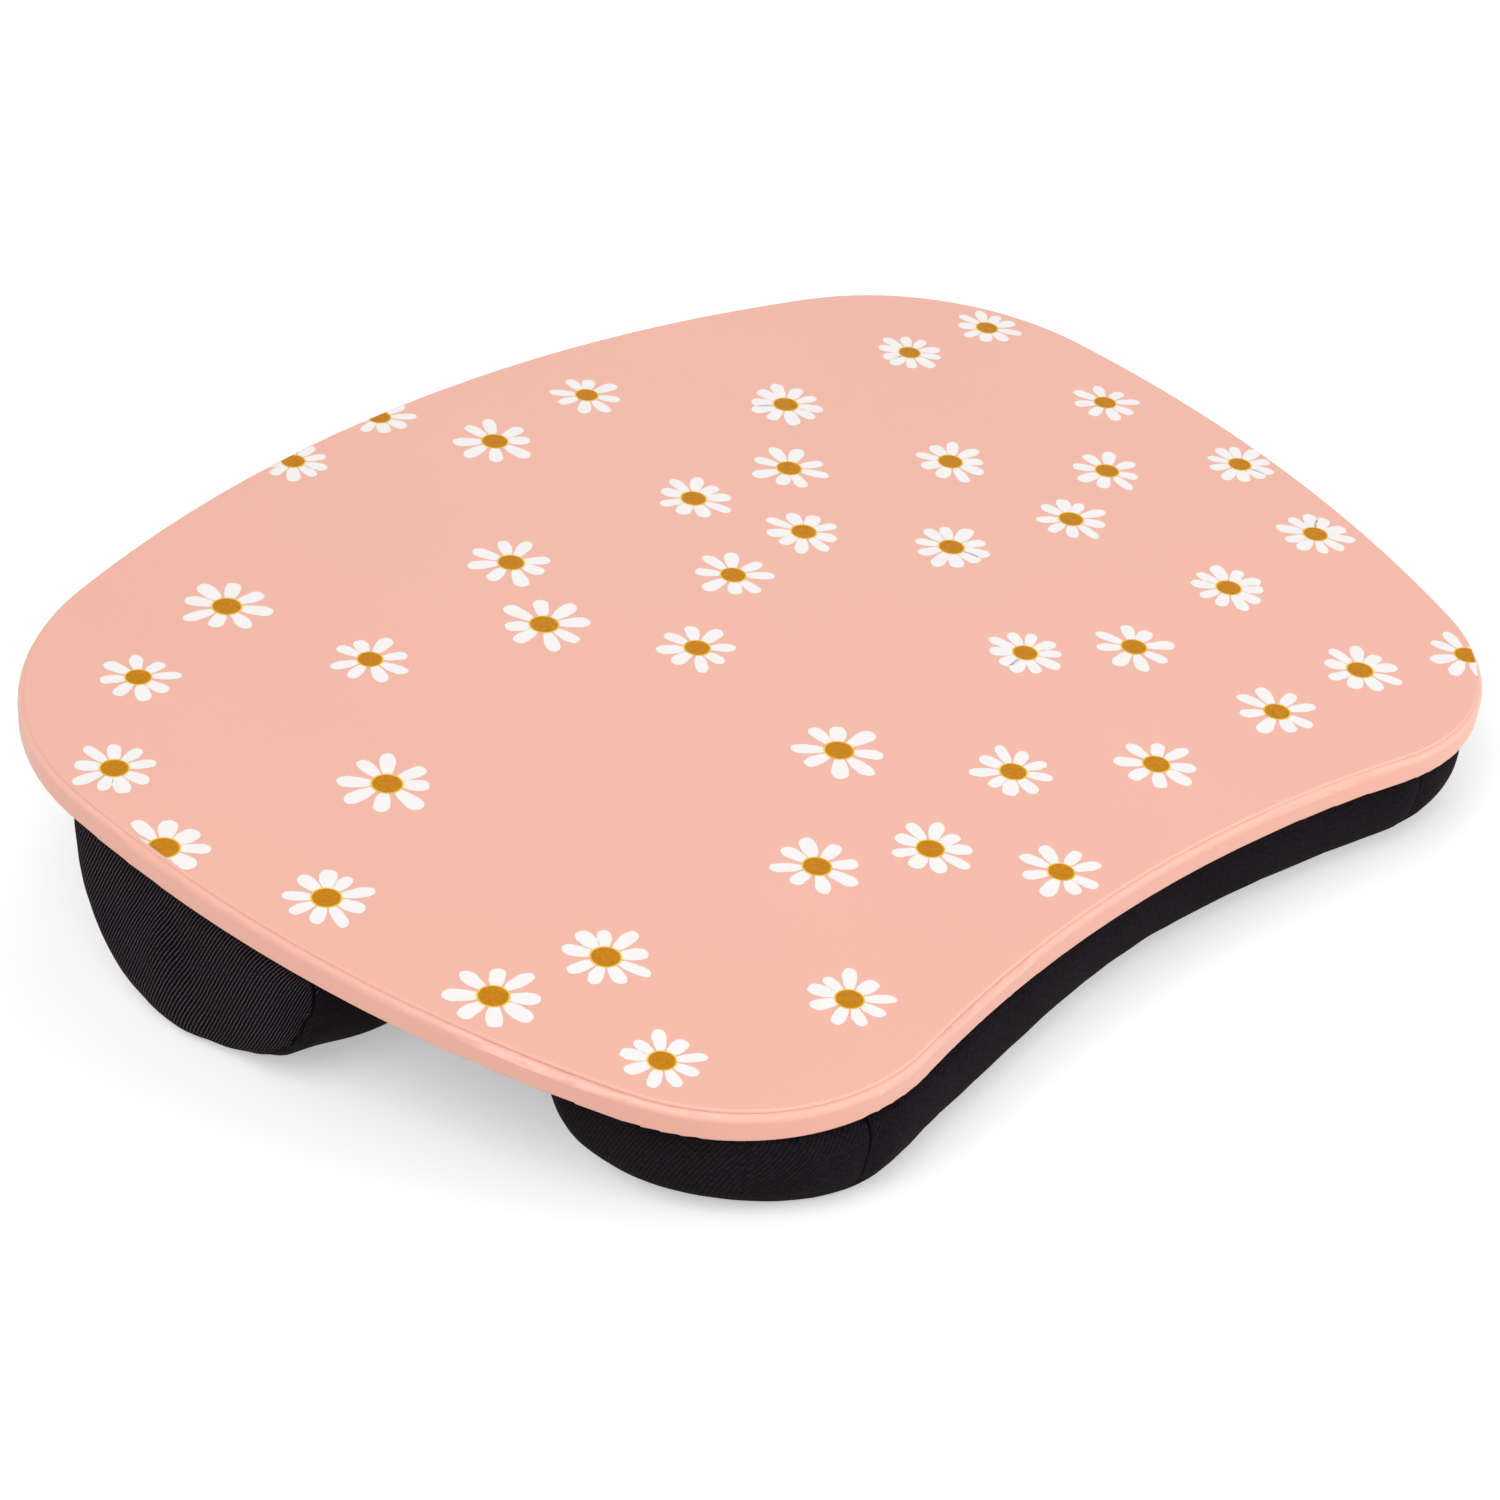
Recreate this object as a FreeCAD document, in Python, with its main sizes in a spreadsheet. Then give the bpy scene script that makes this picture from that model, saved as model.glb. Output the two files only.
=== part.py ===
import FreeCAD, Part
import math
import os

import Sketcher

# Lap tray on a two-bolster cushion. Millimetres, +X to the user's right, +Y away from the user, +Z up.
# The tray is drawn flat around a reference line, then tilted about X and lifted onto the cushion.
# The bolsters are drawn standing, with the ground at z = 0.

# Driving dimensions: name, value, meaning
DIMENSIONS = [
    ("half_width", 215.5, "tray centre line to its widest place"),
    ("widest_place", 67.0, "reference line back to the widest place"),
    ("rear_reach", 190.5, "reference line back to the middle of the rear edge"),
    ("front_reach", 130.4, "reference line forward to the middle of the hollow front edge"),
    ("rear_radius", 464.0, "rear edge"),
    ("rear_corner_radius", 88.0, "rear corners"),
    ("side_radius", 436.0, "left and right edges"),
    ("front_corner_radius", 65.0, "front lobes"),
    ("hollow_radius", 461.0, "hollow front edge"),
    ("sheet_thickness", 1.0, "printed sheet on the board"),
    ("sheet_inset", 1.5, "tray edge to the printed sheet's rim"),
    ("sheet_round", 0.6, "rounded upper rim of the printed sheet"),
    ("core_thickness", 8.0, "board core"),
    ("backing_thickness", 0.5, "plain sheet under the board"),
    ("band_thickness", 2.2, "edge band, across"),
    ("band_top_round", 2.6, "rounded upper edge of the band"),
    ("band_bottom_round", 0.8, "rounded lower edge of the band"),
    ("joint_gap", 0.06, "edge band to the core it wraps and to the printed sheet over it"),
    ("tilt", 7.66, "slope of the tray towards the user, degrees"),
    ("stand_height", 60.0, "ground to the printed face at the reference line"),
    ("glue_thickness", 0.4, "hot-melt strips between board and cushion"),
    ("glue_width", 24.0, "hot-melt strips, across"),
    ("glue_end_inset", 65.5, "tray's widest place in to the ends of the hot-melt strips"),
    ("fabric_thickness", 1.2, "cushion cloth with its lining"),
    ("cushion_inset", 6.0, "tray edge to the cushion's wall"),
    ("flat_depth", 0.5, "how deep the cushion is pressed flat where it rests"),
    ("fill_clearance", 0.3, "bead fill to its cover"),
    ("rear_end_inset", 7.5, "tray's widest place in to the rear bolster's end"),
    ("rear_back_wall", 108.0, "reference line back to the rear bolster's back wall"),
    ("rear_front_wall", 17.0, "reference line forward to the rear bolster's front wall"),
    ("rear_swell", 6.0, "how far the rear bolster's walls swell towards its middle"),
    ("rear_end_round", 10.0, "rounded edge round the rear bolster's ends"),
    ("rear_end_seam", 7.0, "end of the rear bolster to the seam of its end panel"),
    ("front_end_inset", 41.5, "tray's widest place in to the front bolster's end"),
    ("front_valley_wall", 46.0, "reference line forward to the front bolster's valley wall"),
    ("front_lobe_radius", 51.0, "front bolster's corners under the tray's lobes, from above"),
    ("front_end_straight", 5.5, "straight stretch of the front bolster's end, lobe to valley corner"),
    ("front_round", 20.0, "rounded lower edge of the front bolster"),
    ("front_crown_radius", 160.0, "crowned bottom of the front bolster"),
    ("front_corner_seam", 53.0, "end of the front bolster to the upright seam of its front band"),
    ("band_seam_height", 6.0, "ground to the seam under the front band and the end panels"),
    ("overrun", 20.0, "spare length of every cut"),
]

# Stations along half of the rear bolster, as shares of its straight half, and steps round its end's edge
REAR_STATION_SHARES = (0.0, 0.35, 0.7, 1.0)
END_ROUND_STEPS = 4

# Roundings of the rear bolster's section, as shares of the section's width
REAR_ROUND_SHARES = {"front": 0.46, "back": 0.36, "bottom": 1.0}

# Steps down the front bolster's lower edge and crown, and how far in its lowest level lies,
# as a share of its tightest corner or of the way to the middle
FRONT_ROUND_STEPS = 5
FRONT_CROWN_STEPS = 2
FRONT_FLAT_SHARE = 0.85

doc = FreeCAD.newDocument("lap_tray")
sheet = doc.addObject("Spreadsheet::Sheet", "Dimensions")
for row, (alias, value, meaning) in enumerate(DIMENSIONS, start=1):
    sheet.set("A%d" % row, meaning)
    sheet.set("B%d" % row, str(value))
    sheet.setAlias("B%d" % row, alias)
doc.recompute()


def size(alias):
    """One driving dimension, read from the sheet."""
    return float(sheet.get(alias))


# Heights in the flat tray, from the printed face down
CORE_TOP = -size("sheet_thickness")
BAND_TOP = CORE_TOP - size("joint_gap")
BACKING_TOP = CORE_TOP - size("core_thickness")
BOARD_BOTTOM = BACKING_TOP - size("backing_thickness")
BASE_TOP = BOARD_BOTTOM - size("glue_thickness")
BASE_BOTTOM = BASE_TOP - size("fabric_thickness")
TILT = math.radians(size("tilt"))

# Middle to end of each bolster
REAR_HALF_LENGTH = size("half_width") - size("rear_end_inset")
FRONT_HALF_LENGTH = size("half_width") - size("front_end_inset")


def circle_meeting(first, first_radius, second, second_radius):
    """The two points at the given distances from two centres."""
    across = second - first
    span = across.Length
    along = (first_radius ** 2 - second_radius ** 2 + span ** 2) / (2 * span)
    aside = math.sqrt(first_radius ** 2 - along ** 2)
    middle = first + across * (along / span)
    normal = FreeCAD.Vector(-across.y, across.x, 0) * (aside / span)
    return middle + normal, middle - normal


class Outline:
    """The right half of the tray's outline: five tangent arcs, moved inwards by an inset."""

    def __init__(self, inset):
        rear, corner, side = size("rear_radius"), size("rear_corner_radius"), size("side_radius")
        front, hollow = size("front_corner_radius"), size("hollow_radius")
        self.rear = FreeCAD.Vector(0, size("rear_reach") - rear, 0)
        self.side = FreeCAD.Vector(size("half_width") - side, size("widest_place"), 0)
        self.hollow = FreeCAD.Vector(0, -size("front_reach") - hollow, 0)
        rear_corners = circle_meeting(self.rear, rear - corner, self.side, side - corner)
        self.rear_corner = max(rear_corners, key=lambda point: point.y)
        front_corners = circle_meeting(self.side, side - front, self.hollow, hollow + front)
        self.front_corner = max(front_corners, key=lambda point: point.x)
        self.rear_r = rear - inset
        self.rear_corner_r = corner - inset
        self.side_r = side - inset
        self.front_corner_r = front - inset
        self.hollow_r = hollow + inset

    @staticmethod
    def angle(centre, point):
        """Direction from a centre to a point, in radians."""
        return math.atan2(point.y - centre.y, point.x - centre.x)

    def arcs(self):
        """Centre, radius, start angle and end angle of the eight arcs, right side first."""
        to_rear = self.angle(self.rear, self.rear_corner)
        to_side = self.angle(self.side, self.rear_corner)
        to_front = self.angle(self.side, self.front_corner)
        to_hollow = self.angle(self.hollow, self.front_corner)
        into_lobe = to_hollow + math.pi
        right = [
            (self.rear_corner, self.rear_corner_r, to_side, to_rear),
            (self.side, self.side_r, to_front, to_side),
            (self.front_corner, self.front_corner_r, into_lobe - 2 * math.pi, to_front),
        ]
        left = []
        for centre, radius, start, end in right:
            mirrored = FreeCAD.Vector(-centre.x, centre.y, 0)
            left.append((mirrored, radius, math.pi - end, math.pi - start))
        rear = (self.rear, self.rear_r, to_rear, math.pi - to_rear)
        hollow = (self.hollow, self.hollow_r, to_hollow, math.pi - to_hollow)
        return right + left + [rear, hollow]


def tilted_tip(reach, height, rounding, way):
    """How far a band edge with the given rounding comes, rear or front, once the tray is tilted."""
    return way * (reach - rounding) * math.cos(TILT) - height * math.sin(TILT) + way * rounding


# Places in the finished frame: the origin is under the middle of the whole part
LOBE_REACH = Outline(0).front_corner_r - Outline(0).front_corner.y
REAR_TIP = tilted_tip(
    size("rear_reach"), BOARD_BOTTOM + size("band_bottom_round"), size("band_bottom_round"), 1)
FRONT_TIP = tilted_tip(LOBE_REACH, BAND_TOP - size("band_top_round"), size("band_top_round"), -1)
DEPTH_OFFSET = (REAR_TIP + FRONT_TIP) / 2
CENTRING = FreeCAD.Vector(0, -DEPTH_OFFSET, 0)
STANDING = FreeCAD.Placement(CENTRING, FreeCAD.Rotation())
TILTED = FreeCAD.Placement(
    CENTRING + FreeCAD.Vector(0, 0, size("stand_height")),
    FreeCAD.Rotation(FreeCAD.Vector(1, 0, 0), size("tilt")),
)


def origin_plane(body, role):
    """One of a body's own origin planes."""
    return next(feature for feature in body.Origin.OriginFeatures if feature.Role == role)


def new_sketch(body, name, height):
    """An empty sketch on the body's ground plane, at an expression's height."""
    sketch = body.newObject("Sketcher::SketchObject", name)
    sketch.AttachmentSupport = [(origin_plane(body, "XY_Plane"), "")]
    sketch.MapMode = "FlatFace"
    sketch.setExpression("AttachmentOffset.Base.z", height)
    return sketch


def bind(sketch, name, constraint, expression):
    """Add a named constraint and tie it to the sheet."""
    index = sketch.addConstraint(constraint)
    sketch.renameConstraint(index, name)
    sketch.setExpression("Constraints." + name, expression)


def outline_sketch(body, name, inset, inset_expression, height):
    """The tray's outline, moved inwards: eight tangent arcs whose sizes are tied to the sheet."""
    sketch = new_sketch(body, name, height)
    arcs = Outline(inset).arcs()
    for centre, radius, start, end in arcs:
        circle = Part.Circle(centre, FreeCAD.Vector(0, 0, 1), radius)
        sketch.addGeometry(Part.ArcOfCircle(circle, start, end), False)
    rear_corner, side, lobe, left_rear_corner, left_side, left_lobe, rear, hollow = range(len(arcs))
    start, end, centre = 1, 2, 3
    origin, y_axis = -1, -2
    joins = [
        (rear, start, rear_corner, end),
        (rear_corner, start, side, end),
        (side, start, lobe, end),
        (lobe, start, hollow, start),
        (rear, end, left_rear_corner, start),
        (left_rear_corner, end, left_side, start),
        (left_side, end, left_lobe, start),
        (left_lobe, end, hollow, end),
    ]
    for join in joins:
        sketch.addConstraint(Sketcher.Constraint("Tangent", *join))
    sketch.addConstraint(Sketcher.Constraint("PointOnObject", rear, centre, y_axis))
    sketch.addConstraint(Sketcher.Constraint("PointOnObject", hollow, centre, y_axis))
    sketch.addConstraint(Sketcher.Constraint("Symmetric", side, centre, left_side, centre, y_axis))
    less = "Dimensions.%s - (" + inset_expression + ")"
    more = "Dimensions.%s + (" + inset_expression + ")"
    radii = [
        ("rear_corner", rear_corner, less % "rear_corner_radius"),
        ("side", side, less % "side_radius"),
        ("lobe", lobe, less % "front_corner_radius"),
        ("left_rear_corner", left_rear_corner, less % "rear_corner_radius"),
        ("left_side", left_side, less % "side_radius"),
        ("left_lobe", left_lobe, less % "front_corner_radius"),
        ("rear", rear, less % "rear_radius"),
        ("hollow", hollow, more % "hollow_radius"),
    ]
    for arc_name, arc, expression in radii:
        bind(sketch, arc_name + "_round", Sketcher.Constraint("Radius", arc, arcs[arc][1]), expression)
    places = [
        ("rear_centre", "DistanceY", (rear, centre, origin, 1),
         "Dimensions.rear_radius - Dimensions.rear_reach"),
        ("side_centre", "DistanceX", (side, centre, origin, 1),
         "Dimensions.side_radius - Dimensions.half_width"),
        ("side_place", "DistanceY", (origin, 1, side, centre), "Dimensions.widest_place"),
        ("hollow_centre", "DistanceY", (hollow, centre, origin, 1),
         "Dimensions.front_reach + Dimensions.hollow_radius"),
    ]
    values = [-arcs[rear][0].y, -arcs[side][0].x, arcs[side][0].y, -arcs[hollow][0].y]
    for (place, kind, points, expression), value in zip(places, values):
        bind(sketch, place, Sketcher.Constraint(kind, *points, value), expression)
    return sketch


def new_body(label):
    """A body that lies in the tilted tray."""
    body = doc.addObject("PartDesign::Body", label)
    body.Label = label
    body.Placement = TILTED
    return body


def pad_down(body, name, sketch, expression):
    """Pad a sketch downwards by an expression's length."""
    pad = body.newObject("PartDesign::Pad", name)
    pad.Profile = sketch
    pad.Reversed = True
    pad.setExpression("Length", expression)
    sketch.Visibility = False
    doc.recompute()
    return pad


def flat_panel(label, inset, inset_expression, height, thickness):
    """A flat layer of the tray with the tray's outline, moved inwards."""
    body = new_body(label)
    sketch = outline_sketch(body, label + "_outline", inset, inset_expression, height)
    pad_down(body, label + "_pad", sketch, thickness)
    return body


def edges_at(shape, height):
    """Names of the edges that lie wholly at one height."""
    slack = size("sheet_thickness") / 1000
    names = []
    for index, edge in enumerate(shape.Edges, start=1):
        box = edge.BoundBox
        if abs(box.ZMin - height) < slack and abs(box.ZMax - height) < slack:
            names.append("Edge%d" % index)
    return names


def rounded(body, name, base, height, expression):
    """Round all edges of a feature at one height."""
    fillet = body.newObject("PartDesign::Fillet", name)
    fillet.Base = (base, edges_at(base.Shape, height))
    fillet.setExpression("Radius", expression)
    doc.recompute()
    return fillet


# Layers of the board, from the top down
BOARD_INSET = size("band_thickness") + size("joint_gap")
BOARD_INSET_TEXT = "Dimensions.band_thickness + Dimensions.joint_gap"
CORE_TOP_TEXT = "-Dimensions.sheet_thickness"
BACKING_TOP_TEXT = CORE_TOP_TEXT + " - Dimensions.core_thickness"
BOARD_BOTTOM_TEXT = BACKING_TOP_TEXT + " - Dimensions.backing_thickness"
BASE_TOP_TEXT = BOARD_BOTTOM_TEXT + " - Dimensions.glue_thickness"

printed_sheet = flat_panel(
    "printed_top_sheet", size("sheet_inset"), "Dimensions.sheet_inset", "0", "Dimensions.sheet_thickness")
rounded(printed_sheet, "sheet_rim", printed_sheet.Tip, 0, "Dimensions.sheet_round")
board_core = flat_panel(
    "board_core", BOARD_INSET, BOARD_INSET_TEXT, CORE_TOP_TEXT, "Dimensions.core_thickness")
backing_sheet = flat_panel(
    "backing_sheet", BOARD_INSET, BOARD_INSET_TEXT, BACKING_TOP_TEXT, "Dimensions.backing_thickness")


def make_edge_band():
    """The band round the core, under the printed sheet's rim: rounded above and below on its outside."""
    body = new_body("edge_band")
    outside = outline_sketch(body, "band_outside", 0, "0", CORE_TOP_TEXT + " - Dimensions.joint_gap")
    depth = "Dimensions.core_thickness + Dimensions.backing_thickness - Dimensions.joint_gap"
    pad = pad_down(body, "band_pad", outside, depth)
    shoulder = rounded(body, "band_shoulder", pad, BAND_TOP, "Dimensions.band_top_round")
    foot = rounded(body, "band_foot", shoulder, BOARD_BOTTOM, "Dimensions.band_bottom_round")
    inside = outline_sketch(
        body, "band_inside", size("band_thickness"), "Dimensions.band_thickness", "Dimensions.overrun")
    pocket = body.newObject("PartDesign::Pocket", "band_pocket")
    pocket.Profile = inside
    pocket.Type = "ThroughAll"
    doc.recompute()
    if pocket.Shape.Volume > foot.Shape.Volume / 2:
        raise RuntimeError("the edge band's inside was not cut out")
    return body


edge_band = make_edge_band()


def make_base_panel():
    """The cloth glued under the board, from the front wall back to the rear bolster's back wall."""
    body = flat_panel(
        "cushion_base_panel", size("cushion_inset"), "Dimensions.cushion_inset",
        BASE_TOP_TEXT, "Dimensions.fabric_thickness")
    before = body.Shape.Volume
    sketch = new_sketch(body, "base_rear_trim", BASE_TOP_TEXT)
    half, near = size("half_width"), size("rear_back_wall")
    far = size("rear_reach") + size("overrun")
    corners = [(-half, near), (half, near), (half, far), (-half, far)]
    points = [FreeCAD.Vector(x, y, 0) for x, y in corners]
    for index, point in enumerate(points):
        sketch.addGeometry(Part.LineSegment(point, points[(index + 1) % len(points)]), False)
    start, end = 1, 2
    front, right, back, left = range(len(points))
    origin, y_axis = -1, -2
    for line, following in ((front, right), (right, back), (back, left), (left, front)):
        sketch.addConstraint(Sketcher.Constraint("Coincident", line, end, following, start))
    for line in (left, right):
        sketch.addConstraint(Sketcher.Constraint("Vertical", line))
    sketch.addConstraint(Sketcher.Constraint("Horizontal", back))
    sketch.addConstraint(Sketcher.Constraint("Symmetric", front, start, front, end, y_axis))
    bind(sketch, "trim_width", Sketcher.Constraint("DistanceX", front, start, front, end, 2 * half),
         "2 * Dimensions.half_width")
    bind(sketch, "trim_near", Sketcher.Constraint("DistanceY", origin, 1, front, start, near),
         "Dimensions.rear_back_wall")
    bind(sketch, "trim_far", Sketcher.Constraint("DistanceY", origin, 1, right, end, far),
         "Dimensions.rear_reach + Dimensions.overrun")
    pocket = body.newObject("PartDesign::Pocket", "base_rear_pocket")
    pocket.Profile = sketch
    pocket.setExpression("Length", "Dimensions.fabric_thickness")
    doc.recompute()
    if pocket.Shape.Volume >= before:
        raise RuntimeError("the base panel's rear was not trimmed")
    return body


base_panel = make_base_panel()


def make_glue_strips():
    """Three flat strips of hot-melt glue between the board and the base panel."""
    rear_middle = "(Dimensions.rear_back_wall - Dimensions.rear_front_wall) / 2"
    valley_middle = "-(Dimensions.rear_front_wall + Dimensions.front_valley_wall) / 2"
    front_middle = "-(Dimensions.front_valley_wall + Dimensions.front_reach - Dimensions.cushion_inset) / 2"
    strips = []
    for place, middle in (("rear", rear_middle), ("valley", valley_middle), ("front", front_middle)):
        strip = doc.addObject("Part::Box", "glue_strip_" + place)
        strip.setExpression("Length", "2 * (Dimensions.half_width - Dimensions.glue_end_inset)")
        strip.setExpression("Width", "Dimensions.glue_width")
        strip.setExpression("Height", "Dimensions.glue_thickness")
        strip.setExpression("Placement.Base.x", "Dimensions.glue_end_inset - Dimensions.half_width")
        strip.setExpression("Placement.Base.y", middle + " - Dimensions.glue_width / 2")
        strip.setExpression("Placement.Base.z", BASE_TOP_TEXT)
        strips.append(strip)
    group = doc.addObject("Part::Compound", "glue_strips")
    group.Label = "glue_strips"
    group.Links = strips
    doc.recompute()
    group.Placement = TILTED
    return group


glue_strips = make_glue_strips()


def arc_round(centre, radius, first, last):
    """Arc about a centre between two directions, by the shorter way."""
    half_way = (first + last).normalize()
    return Part.Arc(centre + first * radius, centre + half_way * radius, centre + last * radius).toShape()


def rear_section(x, front, back, inset):
    """Closed section of the rear bolster: walls, two round corners and a crowned bottom, moved inwards."""
    width = back - front
    front_r = REAR_ROUND_SHARES["front"] * width
    back_r = REAR_ROUND_SHARES["back"] * width
    bottom_r = REAR_ROUND_SHARES["bottom"] * width
    middle = (front + back) / 2
    bottom = FreeCAD.Vector(x, middle, bottom_r - size("flat_depth"))

    def corner_centre(y, radius):
        """Centre of a corner that touches its wall and the crowned bottom."""
        drop = math.sqrt((bottom_r - radius) ** 2 - (y - middle) ** 2)
        return FreeCAD.Vector(x, y, bottom.z - drop)

    front_c = corner_centre(front + front_r, front_r)
    back_c = corner_centre(back - back_r, back_r)
    top = size("stand_height") + size("overrun")
    forward = FreeCAD.Vector(0, -1, 0)
    backward = FreeCAD.Vector(0, 1, 0)
    front_down = (front_c - bottom).normalize()
    back_down = (back_c - bottom).normalize()
    front_wall = front_c + forward * (front_r - inset)
    back_wall = back_c + backward * (back_r - inset)
    front_top = FreeCAD.Vector(x, front_wall.y, top)
    back_top = FreeCAD.Vector(x, back_wall.y, top)
    return Part.Wire([
        Part.LineSegment(front_top, front_wall).toShape(),
        arc_round(front_c, front_r - inset, forward, front_down),
        arc_round(bottom, bottom_r - inset, front_down, back_down),
        arc_round(back_c, back_r - inset, back_down, backward),
        Part.LineSegment(back_wall, back_top).toShape(),
        Part.LineSegment(back_top, front_top).toShape(),
    ])


def both_sides(half):
    """Mirror a list of stations that starts at the middle."""
    return [(-place, *rest) for place, *rest in reversed(half[1:])] + list(half)


def underside_y(flat_y):
    """Standing Y of a place on the cushion's top face, from its place in the flat tray."""
    return flat_y * math.cos(TILT) - BASE_BOTTOM * math.sin(TILT)


def rear_stations(inset):
    """Place, draw-in of the walls and inset of each section along half of the rear bolster."""
    straight = REAR_HALF_LENGTH - size("rear_end_round")
    swell = size("rear_swell")
    stations = [(share * straight, share ** 2 * swell, inset) for share in REAR_STATION_SHARES]
    end_r = size("rear_end_round") - inset
    for step in range(1, END_ROUND_STEPS + 1):
        turn = math.pi / 2 * step / END_ROUND_STEPS
        stations.append((straight + end_r * math.sin(turn), swell, inset + end_r * (1 - math.cos(turn))))
    return both_sides(stations)


def rear_bolster(inset):
    """The rear bolster: straight, fullest in the middle, with a rounded edge at both ends."""
    wires = []
    for x, draw, shrink in rear_stations(inset):
        front = draw - size("rear_front_wall")
        back = size("rear_back_wall") - draw
        wires.append(rear_section(x, front, back, shrink))
    return Part.makeLoft(wires, True, True)


# The front bolster seen from above: its front wall and the centres of its arcs, right side
FRONT_WALL = underside_y(size("cushion_inset") - size("front_reach"))
FRONT_HOLLOW_R = size("hollow_radius") + size("cushion_inset")
FRONT_HOLLOW = FreeCAD.Vector(0, FRONT_WALL - FRONT_HOLLOW_R, 0)
LOBE_X = FRONT_HALF_LENGTH - size("front_lobe_radius")
LOBE_RISE = math.sqrt((FRONT_HOLLOW_R + size("front_lobe_radius")) ** 2 - LOBE_X ** 2)
LOBE = FreeCAD.Vector(LOBE_X, FRONT_HOLLOW.y + LOBE_RISE, 0)
VALLEY_R = -size("front_valley_wall") - LOBE.y - size("front_end_straight")
VALLEY_CORNER = FreeCAD.Vector(
    FRONT_HALF_LENGTH - VALLEY_R, -size("front_valley_wall") - VALLEY_R, 0)


def mirrored(vector):
    """The same place or direction on the other side."""
    return FreeCAD.Vector(-vector.x, vector.y, vector.z)


def front_level(inset, height):
    """Closed outline of the front bolster at one height, moved inwards."""
    up = FreeCAD.Vector(0, 0, height)
    right = FreeCAD.Vector(1, 0, 0)
    backward = FreeCAD.Vector(0, 1, 0)
    into_hollow = (FRONT_HOLLOW - LOBE).normalize()
    out_of_hollow = -into_hollow
    lobe_r = size("front_lobe_radius") - inset
    valley_r = VALLEY_R - inset
    lobe, valley = LOBE + up, VALLEY_CORNER + up
    end_front, end_back = lobe + right * lobe_r, valley + right * valley_r
    valley_wall = valley + backward * valley_r
    return Part.Wire([
        arc_round(FRONT_HOLLOW + up, FRONT_HOLLOW_R + inset, mirrored(out_of_hollow), out_of_hollow),
        arc_round(lobe, lobe_r, into_hollow, right),
        Part.LineSegment(end_front, end_back).toShape(),
        arc_round(valley, valley_r, right, backward),
        Part.LineSegment(valley_wall, mirrored(valley_wall)).toShape(),
        arc_round(mirrored(valley), valley_r, backward, mirrored(right)),
        Part.LineSegment(mirrored(end_back), mirrored(end_front)).toShape(),
        arc_round(mirrored(lobe), lobe_r, mirrored(right), mirrored(into_hollow)),
    ])


def front_levels(inset):
    """Inset and height of the front bolster's outlines, from its crowned bottom up."""
    corner_r, crown_r = size("front_round"), size("front_crown_radius")
    middle = -(size("front_valley_wall") + FRONT_WALL) / 2
    flat_inset = FRONT_FLAT_SHARE * min(VALLEY_R, size("front_lobe_radius"), middle)
    lowest = math.asin((middle - flat_inset) / crown_r)
    crown_z = crown_r * math.cos(lowest) - size("flat_depth")
    meeting = math.asin((middle - corner_r) / (crown_r - corner_r))
    corner_z = crown_z - (crown_r - corner_r) * math.cos(meeting)
    levels = []
    for step in range(FRONT_CROWN_STEPS):
        turn = lowest + (meeting - lowest) * step / FRONT_CROWN_STEPS
        reach = crown_r - inset
        levels.append((middle - reach * math.sin(turn), crown_z - reach * math.cos(turn)))
    for step in range(FRONT_ROUND_STEPS + 1):
        turn = meeting + (math.pi / 2 - meeting) * step / FRONT_ROUND_STEPS
        reach = corner_r - inset
        levels.append((corner_r - reach * math.sin(turn), corner_z - reach * math.cos(turn)))
    levels.append((inset, size("stand_height") + size("overrun")))
    return levels


def front_bolster(inset):
    """The front bolster: it follows the tray's hollow front, with one rounded edge all round its bottom."""
    wires = [front_level(shrink, height) for shrink, height in front_levels(inset)]
    return Part.makeLoft(wires, True, True)


REACH = 2 * (size("half_width") + size("overrun"))


def slab(low, high):
    """A box between two corners."""
    extent = high - low
    return Part.makeBox(extent.x, extent.y, extent.z, low)


def above_cushion(clearance):
    """Everything above the base panel's lower face, less a clearance."""
    low = FreeCAD.Vector(-REACH, -REACH, BASE_BOTTOM - clearance)
    box = slab(low, FreeCAD.Vector(REACH, REACH, REACH))
    box.Placement = FreeCAD.Placement(
        FreeCAD.Vector(0, 0, size("stand_height")), TILTED.Rotation).multiply(box.Placement)
    return box


def below_ground():
    """Everything below the surface that the cushion rests on."""
    return slab(FreeCAD.Vector(-REACH, -REACH, -REACH), FreeCAD.Vector(REACH, REACH, 0))


def cover_of(bolster):
    """A bolster's cloth: closed below and at its ends, open under the base panel."""
    outside = bolster(0).cut(above_cushion(0)).cut(below_ground())
    return outside.cut(bolster(size("fabric_thickness")))


def fill_of(bolster):
    """The bead fill inside a bolster's cloth."""
    clearance = size("fill_clearance")
    return bolster(size("fabric_thickness") + clearance).cut(above_cushion(clearance))


def standing_feature(label, shape):
    """A sub-part with a shape made in the standing frame."""
    if len(shape.Solids) != 1:
        raise RuntimeError("%s has %d solids, not one" % (label, len(shape.Solids)))
    feature = doc.addObject("Part::Feature", label)
    feature.Label = label
    feature.Shape = shape.Solids[0]
    feature.Placement = STANDING
    return feature


def outer_space(x_side, seam, low_z):
    """Everything past an upright seam on one side, above a height."""
    if x_side > 0:
        return slab(FreeCAD.Vector(seam, -REACH, low_z), FreeCAD.Vector(REACH, REACH, REACH))
    return slab(FreeCAD.Vector(-REACH, -REACH, low_z), FreeCAD.Vector(-seam, REACH, REACH))


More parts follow.
